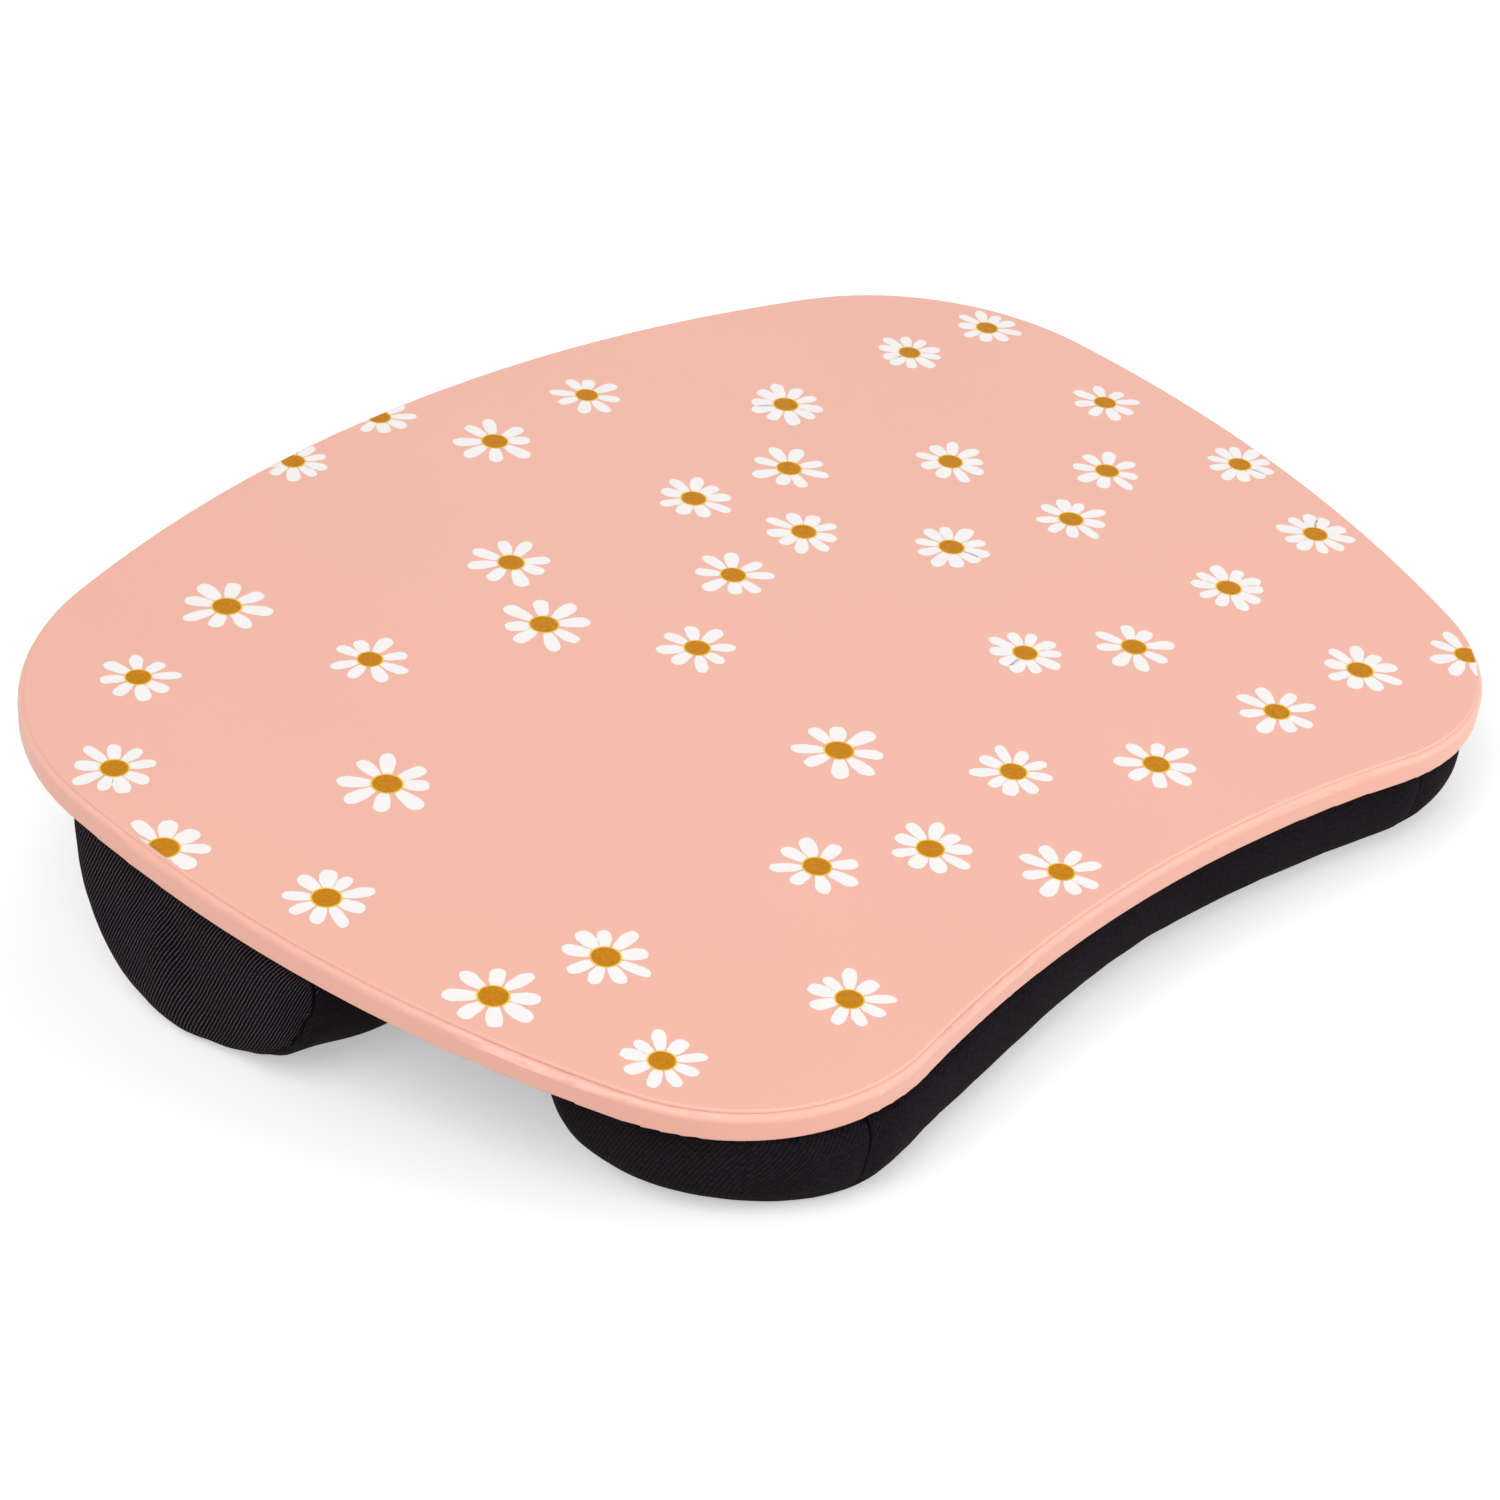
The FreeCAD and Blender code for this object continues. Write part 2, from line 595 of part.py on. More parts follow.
def make_rear_bolster():
    """Body panel, two end panels and bead fill of the rear bolster."""
    cover = cover_of(rear_bolster)
    seam = REAR_HALF_LENGTH - size("rear_end_seam")
    left = outer_space(-1, seam, -REACH)
    right = outer_space(1, seam, -REACH)
    return [
        standing_feature("rear_bolster_body_panel", cover.cut(left).cut(right)),
        standing_feature("rear_bolster_left_end", cover.common(left)),
        standing_feature("rear_bolster_right_end", cover.common(right)),
        standing_feature("rear_bolster_bead_fill", fill_of(rear_bolster)),
    ]


def make_front_bolster():
    """Bottom panel, front band, two end panels and bead fill of the front bolster."""
    cover = cover_of(front_bolster)
    seam, height = FRONT_HALF_LENGTH - size("front_corner_seam"), size("band_seam_height")
    left = outer_space(-1, seam, height)
    right = outer_space(1, seam, height)
    wall_middle = -(size("front_valley_wall") + size("front_reach") - size("cushion_inset")) / 2
    ahead = slab(FreeCAD.Vector(-seam, -REACH, height), FreeCAD.Vector(seam, wall_middle, REACH))
    return [
        standing_feature("front_bolster_bottom_panel", cover.cut(left).cut(right).cut(ahead)),
        standing_feature("front_bolster_front_band", cover.common(ahead)),
        standing_feature("front_bolster_left_end", cover.common(left)),
        standing_feature("front_bolster_right_end", cover.common(right)),
        standing_feature("front_bolster_bead_fill", fill_of(front_bolster)),
    ]


sub_parts = [printed_sheet, board_core, backing_sheet, edge_band, glue_strips, base_panel]
sub_parts += make_rear_bolster()
sub_parts += make_front_bolster()
doc.recompute()

for item in doc.Objects:
    if "Invalid" in item.State or "Error" in item.State:
        raise RuntimeError("%s failed: %s" % (item.Name, item.State))
for part in sub_parts:
    if part.Shape.isNull() or not part.Shape.isValid():
        raise RuntimeError("%s has no valid shape" % part.Label)

os.makedirs("parts", exist_ok=True)
for part in sub_parts:
    part.Shape.exportStep(os.path.join("parts", part.Label + ".step"))
    box = part.Shape.optimalBoundingBox(False)
    print("%s: %d solids, %.0f mm3, x %.1f..%.1f y %.1f..%.1f z %.1f..%.1f" % (
        part.Label, len(part.Shape.Solids), part.Shape.Volume,
        box.XMin, box.XMax, box.YMin, box.YMax, box.ZMin, box.ZMax))
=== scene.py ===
"""Looks of a lap tray on a bead-filled cushion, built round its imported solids.

Laid out as an add-on: settings, one operator for each piece, a panel and a main function.
Lengths are in metres, in the frame of the solids: +X to the user's right, +Y away, +Z up.
"""

import math

import bmesh
import bpy
from mathutils import Matrix, Vector, noise
from mathutils.bvhtree import BVHTree


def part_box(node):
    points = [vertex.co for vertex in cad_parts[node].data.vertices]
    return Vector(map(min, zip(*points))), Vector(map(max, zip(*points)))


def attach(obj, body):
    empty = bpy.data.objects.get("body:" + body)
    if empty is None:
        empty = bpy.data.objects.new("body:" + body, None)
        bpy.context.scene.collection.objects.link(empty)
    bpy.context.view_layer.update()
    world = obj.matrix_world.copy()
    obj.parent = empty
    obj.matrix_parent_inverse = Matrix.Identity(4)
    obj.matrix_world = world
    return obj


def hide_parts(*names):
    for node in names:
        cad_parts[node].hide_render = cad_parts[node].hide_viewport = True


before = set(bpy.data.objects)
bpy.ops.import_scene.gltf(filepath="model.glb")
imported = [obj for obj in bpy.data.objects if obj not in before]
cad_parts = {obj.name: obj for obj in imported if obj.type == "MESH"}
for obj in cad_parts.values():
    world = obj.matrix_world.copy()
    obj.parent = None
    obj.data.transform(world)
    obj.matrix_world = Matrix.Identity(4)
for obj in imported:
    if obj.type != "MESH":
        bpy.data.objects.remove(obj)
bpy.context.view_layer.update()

bl_info = {
    "name": "Lap tray looks",
    "version": (1, 0, 0),
    "blender": (4, 5, 0),
    "location": "View3D > Sidebar > Lap tray",
    "description": "Print, edge, cushion and stage of a lap tray",
    "category": "Object",
}


# Small helpers for colours and node trees

# The usual curve from screen levels to linear light
FULL_LEVEL = 255
CURVE_KNEE = 0.04045
CURVE_SLOPE = 12.92
CURVE_OFFSET = 0.055
CURVE_POWER = 2.4
# Colour sockets of a Mix node, whole-number sockets of a Compare node
MIX_FIRST, MIX_SECOND, MIX_RESULT = 6, 7, 2
COMPARE_FIRST, COMPARE_SECOND = 2, 3
# Middle of a noise, and the range that most of it lies in
NOISE_MIDDLE = 0.5
MOST_NOISE = (0.3, 0.7)


def shade(red, green, blue):
    """A screen colour, each part from 0 to 255, as linear light with full cover."""
    parts = []
    for level in (red, green, blue):
        share = level / FULL_LEVEL
        if share <= CURVE_KNEE:
            parts.append(share / CURVE_SLOPE)
        else:
            parts.append(((share + CURVE_OFFSET) / (1 + CURVE_OFFSET)) ** CURVE_POWER)
    return (*parts, 1.0)


def colour_property(name, description, default):
    """A colour that the user can pick."""
    return bpy.props.FloatVectorProperty(
        name=name, description=description, subtype="COLOR", size=4, min=0, max=1, default=default)


def length_property(name, description, default):
    """A length that the user can set."""
    return bpy.props.FloatProperty(
        name=name, description=description, unit="LENGTH", default=default, precision=5)


def add_node(tree, kind, **settings):
    """A node of a tree with some of its settings."""
    node = tree.nodes.new(kind)
    for key, value in settings.items():
        setattr(node, key, value)
    return node


def feed(tree, socket, value):
    """Gives a socket a value, or links it to another node's output."""
    if isinstance(value, bpy.types.NodeSocket):
        tree.links.new(value, socket)
    else:
        socket.default_value = value


def maths(tree, operation, first, second=0.0):
    """Output of a sum on one or two numbers."""
    node = add_node(tree, "ShaderNodeMath", operation=operation)
    feed(tree, node.inputs[0], first)
    feed(tree, node.inputs[1], second)
    return node.outputs[0]


def blended(tree, share, low, high):
    """Colour between two others."""
    node = add_node(tree, "ShaderNodeMix", data_type="RGBA")
    feed(tree, node.inputs["Factor"], share)
    feed(tree, node.inputs[MIX_FIRST], low)
    feed(tree, node.inputs[MIX_SECOND], high)
    return node.outputs[MIX_RESULT]


def ranged(tree, value, from_low, from_high, to_low, to_high):
    """A number moved smoothly from one range to another."""
    node = add_node(tree, "ShaderNodeMapRange", interpolation_type="SMOOTHSTEP")
    for socket, number in zip(node.inputs[:5], (value, from_low, from_high, to_low, to_high)):
        feed(tree, socket, number)
    return node.outputs[0]


def mottle(tree, place, scale, detail=2.0):
    """Output of an even noise; its scale is in features per metre."""
    node = add_node(tree, "ShaderNodeTexNoise")
    feed(tree, node.inputs["Vector"], place)
    node.inputs["Scale"].default_value = scale
    node.inputs["Detail"].default_value = detail
    return node.outputs["Fac"]


def raised(tree, height, distance, strength):
    """Normal of a surface with small heights on it."""
    node = add_node(tree, "ShaderNodeBump")
    node.inputs["Strength"].default_value = strength
    node.inputs["Distance"].default_value = distance
    feed(tree, node.inputs["Height"], height)
    return node.outputs["Normal"]


def new_finish(name):
    """An empty material, its tree and its surface shader."""
    finish = bpy.data.materials.new(name)
    finish.use_nodes = True
    tree = finish.node_tree
    tree.nodes.clear()
    surface = add_node(tree, "ShaderNodeBsdfPrincipled")
    output = add_node(tree, "ShaderNodeOutputMaterial")
    tree.links.new(surface.outputs[0], output.inputs["Surface"])
    return finish, tree, surface


# Settings

class BoardLook(bpy.types.PropertyGroup):
    """Colours of the board's layers."""
    laminate: colour_property("Laminate", "Ground colour of the print", shade(244, 184, 165))
    edge: colour_property("Edge band", "Colour of the band round the board", shade(242, 178, 158))
    core: colour_property("Core", "Colour of the fibreboard", shade(158, 122, 86))
    backing: colour_property("Backing", "Colour of the sheet under the board", shade(44, 41, 43))
    glue: colour_property("Glue", "Colour of the set glue", shade(226, 214, 178))


class DaisyLook(bpy.types.PropertyGroup):
    """Sizes and colours of the printed flowers."""
    petal: colour_property("Petals", "Colour of the petals", shade(251, 247, 246))
    ring: colour_property("Ring", "Colour of the ring round the centre", shade(247, 203, 66))
    centre: colour_property("Centre", "Colour of the flower's centre", shade(201, 130, 4))
    reach: length_property("Reach", "Flower's centre to the tip of a usual petal", 0.0128)
    petal_width: length_property("Petal width", "Width of a usual petal", 0.0054)
    centre_radius: length_property("Centre radius", "Radius of the flower's centre", 0.0038)
    ring_width: length_property("Ring width", "Width of the ring round the centre", 0.0005)
    spacing: length_property("Spacing", "Least distance between two flowers", 0.034)
    crowding: bpy.props.FloatProperty(
        name="Crowding", description="Flowers tried per square metre", default=650, min=1)
    smallest: bpy.props.FloatProperty(
        name="Smallest", description="Scale of the smallest flower", default=0.92, min=0.1)
    largest: bpy.props.FloatProperty(
        name="Largest", description="Scale of the largest flower", default=1.1, min=0.1)
    wobble: length_property("Wobble", "How uneven the petals' edges are", 0.0011)
    lift: length_property("Lift", "Height of the ink above the laminate", 0.00003)
    border: length_property("Border", "Gap from the ink to the laminate's rim", 0.00005)
    seed: bpy.props.IntProperty(name="Seed", description="Picks the scatter", default=11, min=0)


class CushionLook(bpy.types.PropertyGroup):
    """Cloth, filling and seams of the cushion."""
    # The rib colour holds a painted highlight on the rib tops, the colour between ribs painted shade
    cloth: colour_property("Cloth", "Colour of the ribs of the twill", shade(97, 86, 94))
    shadow: colour_property("Between ribs", "Colour between the ribs", shade(9, 7, 9))
    rib_pitch: length_property("Rib pitch", "Distance from one rib of the twill to the next", 0.00109)
    rib_angle: bpy.props.FloatProperty(
        name="Rib angle", description="Slope of the ribs on an upright panel", subtype="ANGLE",
        default=math.radians(57))
    thickness: length_property("Cloth thickness", "Thickness of the cloth", 0.0012)
    grid: length_property("Mesh size", "Size of the faces that the cloth is worked in", 0.0045)
    swell: length_property("Swell", "Most that the filling pushes the cloth out", 0.002)
    pressure: bpy.props.FloatProperty(name="Pressure", description="Push of the filling", default=4)
    crease: length_property("Crease", "Depth that a seam draws the cloth in", 0.0014)
    crease_reach: length_property("Crease reach", "How far from a seam the cloth is drawn in", 0.005)
    pucker: length_property("Pucker", "Height of the small folds beside a seam", 0.0014)
    pucker_pitch: length_property("Pucker pitch", "Distance between the folds beside a seam", 0.01)


class StageLook(bpy.types.PropertyGroup):
    """Camera, floor and light."""
    floor: colour_property("Floor", "Colour of the floor", (0.82, 0.82, 0.82, 1))
    floor_lift: bpy.props.FloatProperty(
        name="Floor lift", description="Brightness added to the floor in the picture", default=0.42)
    floor_far_lift: bpy.props.FloatProperty(
        name="Far lift", description="Brightness added to the floor away from the object", default=0.75)
    floor_size: length_property("Floor size", "Side of the floor", 6.0)
    sky: bpy.props.FloatProperty(name="Sky", description="Strength of the even light", default=0.4)
    key: bpy.props.FloatProperty(
        name="Key", description="Power of the main lamp", default=22, unit="POWER")
    fill: bpy.props.FloatProperty(
        name="Fill", description="Power of the low lamp in front", default=9.5, unit="POWER")
    sheen: bpy.props.FloatProperty(
        name="Sheen", description="Power of the lamp behind, which the laminate mirrors", default=3,
        unit="POWER")
    lens: bpy.props.FloatProperty(name="Lens", description="Focal length in millimetres", default=82.69)


# The board's place, read from its print face

# Points closer than this are one point, and a face whose normal rises this far is level
MERGE = 1e-6
FACING = 0.999


def board_place():
    """Matrix of the sloping board: its print face is the plane z = 0."""
    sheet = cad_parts["printed_top_sheet"].data
    top = max(sheet.polygons, key=lambda face: face.area if face.normal.z > 0 else 0)
    up = top.normal.normalized()
    across = Vector((1, 0, 0))
    back = up.cross(across).normalized()
    origin = up * up.dot(sheet.vertices[top.vertices[0]].co)
    place = Matrix((across, back, up)).transposed().to_4x4()
    place.translation = origin
    return place


BOARD = board_place()


def flat_outline(node, side):
    """Outline of a flat layer's upper or lower face in board coordinates, point after point."""
    layer = bmesh.new()
    layer.from_mesh(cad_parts[node].data)
    bmesh.ops.remove_doubles(layer, verts=layer.verts, dist=MERGE)
    layer.transform(BOARD.inverted())
    layer.normal_update()
    faces = {face for face in layer.faces if face.normal.z * side > FACING}
    beside = {}
    for edge in layer.edges:
        if sum(face in faces for face in edge.link_faces) == 1:
            for here, there in (edge.verts, reversed(edge.verts)):
                beside.setdefault(here, []).append(there)
    start = next(iter(beside))
    loop = [start]
    following = beside[start][0]
    while following is not start:
        loop.append(following)
        one, other = beside[following]
        following = other if one is loop[-2] else one
    points = [vert.co.copy() for vert in loop]
    layer.free()
    return points


def add_piece(name, mesh, finishes):
    """A finished piece in the scene, which rides on the part's only body."""
    piece = bpy.data.objects.new(name, mesh)
    bpy.context.scene.collection.objects.link(piece)
    if finishes:
        mesh.materials.clear()
        for finish in finishes:
            mesh.materials.append(finish)
    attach(piece, "root")
    return piece


def baked(owner, name):
    """A plain mesh of an object with its modifiers applied, in place of the object."""
    bpy.context.view_layer.update()
    depsgraph = bpy.context.evaluated_depsgraph_get()
    mesh = bpy.data.meshes.new_from_object(owner.evaluated_get(depsgraph))
    mesh.name = name
    bpy.data.objects.remove(owner)
    return mesh


# Finishes of the board

def object_place(tree):
    """Object coordinates."""
    return add_node(tree, "ShaderNodeTexCoord").outputs["Object"]


def varied(tree, colour, spread, share):
    """A colour that drifts a little darker and lighter."""
    dark = [part * (1 - spread) for part in colour[:3]] + [1]
    light = [min(1, part * (1 + spread)) for part in colour[:3]] + [1]
    return blended(tree, share, dark, light)


def turned_up(tree):
    """How far a place faces up from the board: 1 on its top face, 0 on its side."""
    facing = add_node(tree, "ShaderNodeVectorMath", operation="DOT_PRODUCT")
    feed(tree, facing.inputs[0], add_node(tree, "ShaderNodeNewGeometry").outputs["Normal"])
    facing.inputs[1].default_value = BOARD.col[2].xyz
    return facing.outputs["Value"]


def highlighted_colour(colour, lift):
    """A lighter and slightly paler colour, for a painted highlight."""
    return [min(1, part + lift) for part in colour[:3]] + [1]


def satin_finish(
        name, colour, drift_scale, spread, grain_scale, grain_detail, relief, strength, roughness,
        shine, highlight_from, highlight_full, lift):
    """Satin plastic: a soft drift of colour and a fine grain, with a painted highlight where its
    rounding turns.
    """
    finish, tree, surface = new_finish(name)
    place = object_place(tree)
    ground = varied(tree, colour, spread, mottle(tree, place, drift_scale))
    grain = mottle(tree, place, grain_scale, grain_detail)
    # Painted highlight: the colour is lifted where the face turns away from the board's up
    light = ranged(tree, turned_up(tree), highlight_from, highlight_full, 0.0, 1.0)
    feed(tree, surface.inputs["Base Color"], blended(tree, light, ground, highlighted_colour(colour, lift)))
    feed(tree, surface.inputs["Roughness"], ranged(tree, grain, *MOST_NOISE, *roughness))
    feed(tree, surface.inputs["Normal"], raised(tree, grain, relief, strength))
    surface.inputs["Specular IOR Level"].default_value = shine
    return finish


def matt_finish(name, colour, scale, detail, spread, relief, strength, roughness):
    """Matt stuff with one pattern that both tints and raises it."""
    finish, tree, surface = new_finish(name)
    pattern = mottle(tree, object_place(tree), scale, detail)
    feed(tree, surface.inputs["Base Color"], varied(tree, colour, spread, pattern))
    feed(tree, surface.inputs["Normal"], raised(tree, pattern, relief, strength))
    surface.inputs["Roughness"].default_value = roughness
    return finish


# The grain of the laminate, which its inks share
GRAIN_SCALE = 1400
GRAIN_RELIEF = 0.00003
GRAIN_STRENGTH = 0.35


def laminate_finish(look):
    """Printed laminate: satin, with a painted highlight on its rounded rim."""
    return satin_finish(
        "printed laminate", look.laminate, drift_scale=9, spread=0.03, grain_scale=GRAIN_SCALE,
        grain_detail=2, relief=GRAIN_RELIEF, strength=GRAIN_STRENGTH, roughness=(0.42, 0.52),
        shine=0.35, highlight_from=0.99, highlight_full=0.8, lift=0.05)


def edge_finish(look):
    """Edge band: glossier plastic, with a painted highlight on its rounded shoulder."""
    return satin_finish(
        "pink edge plastic", look.edge, drift_scale=14, spread=0.035, grain_scale=700,
        grain_detail=3, relief=0.00004, strength=0.25, roughness=(0.34, 0.44),
        shine=0.6, highlight_from=0.1, highlight_full=0.6, lift=0.065)


def core_finish(look):
    """Fibreboard: fine pressed fibres, paler and darker specks."""
    return matt_finish(
        "fibreboard", look.core, scale=2200, detail=5, spread=0.3,
        relief=0.0001, strength=0.5, roughness=0.9)


def backing_finish(look):
    """Dark backing sheet with a faint paper grain."""
    return matt_finish(
        "backing paper", look.backing, scale=1100, detail=4, spread=0.18,
        relief=0.00005, strength=0.4, roughness=0.7)


def glue_finish(look):
    """Set hot-melt glue: waxy, with soft lumps."""
    return matt_finish(
        "hot melt glue", look.glue, scale=160, detail=2, spread=0.08,
        relief=0.0004, strength=0.5, roughness=0.38)


def dress(node, finish):
    """Gives a carried-over layer its finish."""
    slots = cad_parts[node].data.materials
    slots.clear()
    slots.append(finish)


class TRAY_OT_finish_board(bpy.types.Operator):
    """Give the board's layers, its edge band and the glue their finishes"""
    bl_idname = "tray.finish_board"
    bl_label = "Finish the board"

    def execute(self, context):
        look = context.scene.tray_board
        dress("printed_top_sheet", laminate_finish(look))
        dress("edge_band", edge_finish(look))
        dress("board_core", core_finish(look))
        dress("backing_sheet", backing_finish(look))
        dress("glue_strips", glue_finish(look))
        return {"FINISHED"}


# The printed daisies

PETAL_POINTS = 22
DISC_POINTS = 28
PETAL_COUNTS = (8, 9, 10, 9, 8)
PETAL_BLUNTNESS = 0.85
# A petal's width in its middle, and how much it gains towards its tip
PETAL_FULLNESS = 0.8
PETAL_TAPER = 0.26
# Where a petal starts, as a share of the centre's radius
PETAL_ROOT = 0.8
# Spread of the petals' turn in radians, and of their lengths and widths as shares
PETAL_TURN = 0.1
PETAL_LENGTHS = (0.82, 1.07)
PETAL_WIDTHS = (0.86, 1.12)
WOBBLE_SCALE = 420
INK_DETAIL = 4
INK_ROUGHNESS = 0.5
# Added to a seed, so that each random draw is its own
LENGTH_DRAW, WIDTH_DRAW = 20.0, 40.0
KIND_DRAW, TURN_DRAW, SCALE_DRAW = 1.0, 2.0, 3.0
PETAL, RING, CENTRE = 0, 1, 2
DAISY_SIZES = ("Reach", "Petal width", "Centre radius", "Ring width", "Lift", "Wobble")
SCATTER_SIZES = ("Spacing", "Crowding", "Smallest", "Largest", *DAISY_SIZES)


def ink_finish(name, colour, spread, scale, shine):
    """Printed ink: a slightly uneven colour on the laminate's satin face."""
    finish, tree, surface = new_finish(name)
    place = object_place(tree)
    patches = mottle(tree, place, scale, INK_DETAIL)
    grain = mottle(tree, place, GRAIN_SCALE)
    feed(tree, surface.inputs["Base Color"], varied(tree, colour, spread, patches))
    feed(tree, surface.inputs["Normal"], raised(tree, grain, GRAIN_RELIEF, GRAIN_STRENGTH))
    surface.inputs["Roughness"].default_value = INK_ROUGHNESS
    surface.inputs["Specular IOR Level"].default_value = shine
    return finish


def new_geometry_tree(name, whole_numbers, numbers, geometries=()):
    """A geometry tree with named inputs, its group nodes and one geometry output."""
    tree = bpy.data.node_groups.new(name, "GeometryNodeTree")
    kinds = {"Geometry": geometries, "Int": whole_numbers, "Float": numbers}
    for kind, labels in kinds.items():
        for label in labels:
            tree.interface.new_socket(name=label, in_out="INPUT", socket_type="NodeSocket" + kind)
    tree.interface.new_socket(name="Geometry", in_out="OUTPUT", socket_type="NodeSocketGeometry")
    return tree, add_node(tree, "NodeGroupInput"), add_node(tree, "NodeGroupOutput")


def random_number(tree, low, high, seed, kind="FLOAT"):
    """A random number for each element."""
    node = add_node(tree, "FunctionNodeRandomValue", data_type=kind)
    sockets = [socket for socket in node.inputs if socket.enabled]
    named = {socket.name: socket for socket in sockets}
    feed(tree, named["Min"], low)
    feed(tree, named["Max"], high)
    feed(tree, named["Seed"], seed)
    return next(socket for socket in node.outputs if socket.enabled)


def vector_of(tree, x=0.0, y=0.0, z=0.0):
    """A vector from three numbers."""
    node = add_node(tree, "ShaderNodeCombineXYZ")
    for socket, number in zip(node.inputs, (x, y, z)):
        feed(tree, socket, number)
    return node.outputs[0]


def turned_about_z(tree, angle):
    """A rotation about the upright axis."""
    node = add_node(tree, "FunctionNodeEulerToRotation")
    feed(tree, node.inputs[0], vector_of(tree, z=angle))
    return node.outputs[0]


def marked(tree, geometry, part):
    """Geometry whose faces carry the number of the flower's part."""
    node = add_node(tree, "GeometryNodeStoreNamedAttribute", data_type="INT", domain="FACE")
    feed(tree, node.inputs["Geometry"], geometry)
    node.inputs["Name"].default_value = "flower_part"
    node.inputs["Value"].default_value = part
    return node.outputs[0]


def disc(tree, radius, points, height, part):
    """A flat disc at a height."""
    circle = add_node(tree, "GeometryNodeMeshCircle", fill_type="NGON")
    circle.inputs["Vertices"].default_value = points
    feed(tree, circle.inputs["Radius"], radius)
    placed = add_node(tree, "GeometryNodeTransform")
    feed(tree, placed.inputs["Geometry"], circle.outputs["Mesh"])
    feed(tree, placed.inputs["Translation"], vector_of(tree, z=height))
    return marked(tree, placed.outputs[0], part)


def petal_shape(tree, inner, reach, width):
    """One petal along +X: a rounded blade, widest in its outer half."""
    circle = add_node(tree, "GeometryNodeMeshCircle", fill_type="NGON")
    circle.inputs["Vertices"].default_value = PETAL_POINTS
    circle.inputs["Radius"].default_value = 1
    position = add_node(tree, "GeometryNodeInputPosition").outputs[0]
    parts = add_node(tree, "ShaderNodeSeparateXYZ")
    feed(tree, parts.inputs[0], position)
    along, aside = parts.outputs[0], parts.outputs[1]
    blunt = maths(tree, "POWER", maths(tree, "ABSOLUTE", along), PETAL_BLUNTNESS)
    blunt = maths(tree, "MULTIPLY", blunt, maths(tree, "SIGN", along))
    share = maths(tree, "MULTIPLY", maths(tree, "ADD", blunt, 1.0), 0.5)
    length = maths(tree, "SUBTRACT", reach, inner)
    x = maths(tree, "ADD", inner, maths(tree, "MULTIPLY", share, length))
    fullness = maths(tree, "ADD", maths(tree, "MULTIPLY", along, PETAL_TAPER), PETAL_FULLNESS)
    half_width = maths(tree, "MULTIPLY", maths(tree, "MULTIPLY", width, 0.5), fullness)
    y = maths(tree, "MULTIPLY", aside, half_width)
    shaped = add_node(tree, "GeometryNodeSetPosition")
    feed(tree, shaped.inputs["Geometry"], circle.outputs["Mesh"])
    feed(tree, shaped.inputs["Position"], vector_of(tree, x, y))
    return marked(tree, shaped.outputs[0], PETAL)


def uneven(tree, geometry, seed, amount):
    """Geometry whose points are moved about a little in its plane."""
    real = add_node(tree, "GeometryNodeRealizeInstances")
    feed(tree, real.inputs[0], geometry)
    position = add_node(tree, "GeometryNodeInputPosition").outputs[0]
    drawn = add_node(tree, "ShaderNodeTexNoise")
    place = add_node(tree, "ShaderNodeVectorMath", operation="ADD")
    feed(tree, place.inputs[0], position)
    feed(tree, place.inputs[1], vector_of(tree, z=seed))
    feed(tree, drawn.inputs["Vector"], place.outputs[0])
    drawn.inputs["Scale"].default_value = WOBBLE_SCALE
    parts = add_node(tree, "ShaderNodeSeparateXYZ")
    feed(tree, parts.inputs[0], drawn.outputs["Color"])
    steps = []
    for part in parts.outputs[:2]:
        steps.append(maths(tree, "MULTIPLY", maths(tree, "SUBTRACT", part, NOISE_MIDDLE), amount))
    moved = add_node(tree, "GeometryNodeSetPosition")
    feed(tree, moved.inputs["Geometry"], real.outputs[0])
    feed(tree, moved.inputs["Offset"], vector_of(tree, *steps))
    return moved.outputs[0]


def daisy_tree():
    """One flower: unequal petals round a centre with a thin ring."""
    tree, given, result = new_geometry_tree("one daisy", ("Petals", "Seed"), DAISY_SIZES)
    petals, seed = given.outputs["Petals"], given.outputs["Seed"]
    centre, lift = given.outputs["Centre radius"], given.outputs["Lift"]
    root = maths(tree, "MULTIPLY", centre, PETAL_ROOT)
    petal = petal_shape(tree, root, given.outputs["Reach"], given.outputs["Petal width"])
    points = add_node(tree, "GeometryNodePoints")
    feed(tree, points.inputs["Count"], petals)
    index = add_node(tree, "GeometryNodeInputIndex").outputs[0]
    turn = maths(tree, "MULTIPLY", index, maths(tree, "DIVIDE", math.tau, petals))
    turn = maths(tree, "ADD", turn, random_number(tree, -PETAL_TURN, PETAL_TURN, seed))
    longer = random_number(tree, *PETAL_LENGTHS, maths(tree, "ADD", seed, LENGTH_DRAW))
    wider = random_number(tree, *PETAL_WIDTHS, maths(tree, "ADD", seed, WIDTH_DRAW))
    petal_ring = add_node(tree, "GeometryNodeInstanceOnPoints")
    feed(tree, petal_ring.inputs["Points"], points.outputs[0])
    feed(tree, petal_ring.inputs["Instance"], petal)
    feed(tree, petal_ring.inputs["Rotation"], turned_about_z(tree, turn))
    feed(tree, petal_ring.inputs["Scale"], vector_of(tree, longer, wider, 1.0))
    rim = maths(tree, "ADD", centre, given.outputs["Ring width"])
    flower = add_node(tree, "GeometryNodeJoinGeometry")
    petal_edges = uneven(tree, petal_ring.outputs[0], seed, given.outputs["Wobble"])
    tree.links.new(petal_edges, flower.inputs[0])
    tree.links.new(disc(tree, rim, DISC_POINTS, lift, RING), flower.inputs[0])
    twice = maths(tree, "MULTIPLY", lift, 2.0)
    tree.links.new(disc(tree, centre, DISC_POINTS, twice, CENTRE), flower.inputs[0])
    feed(tree, result.inputs[0], flower.outputs[0])
    return tree


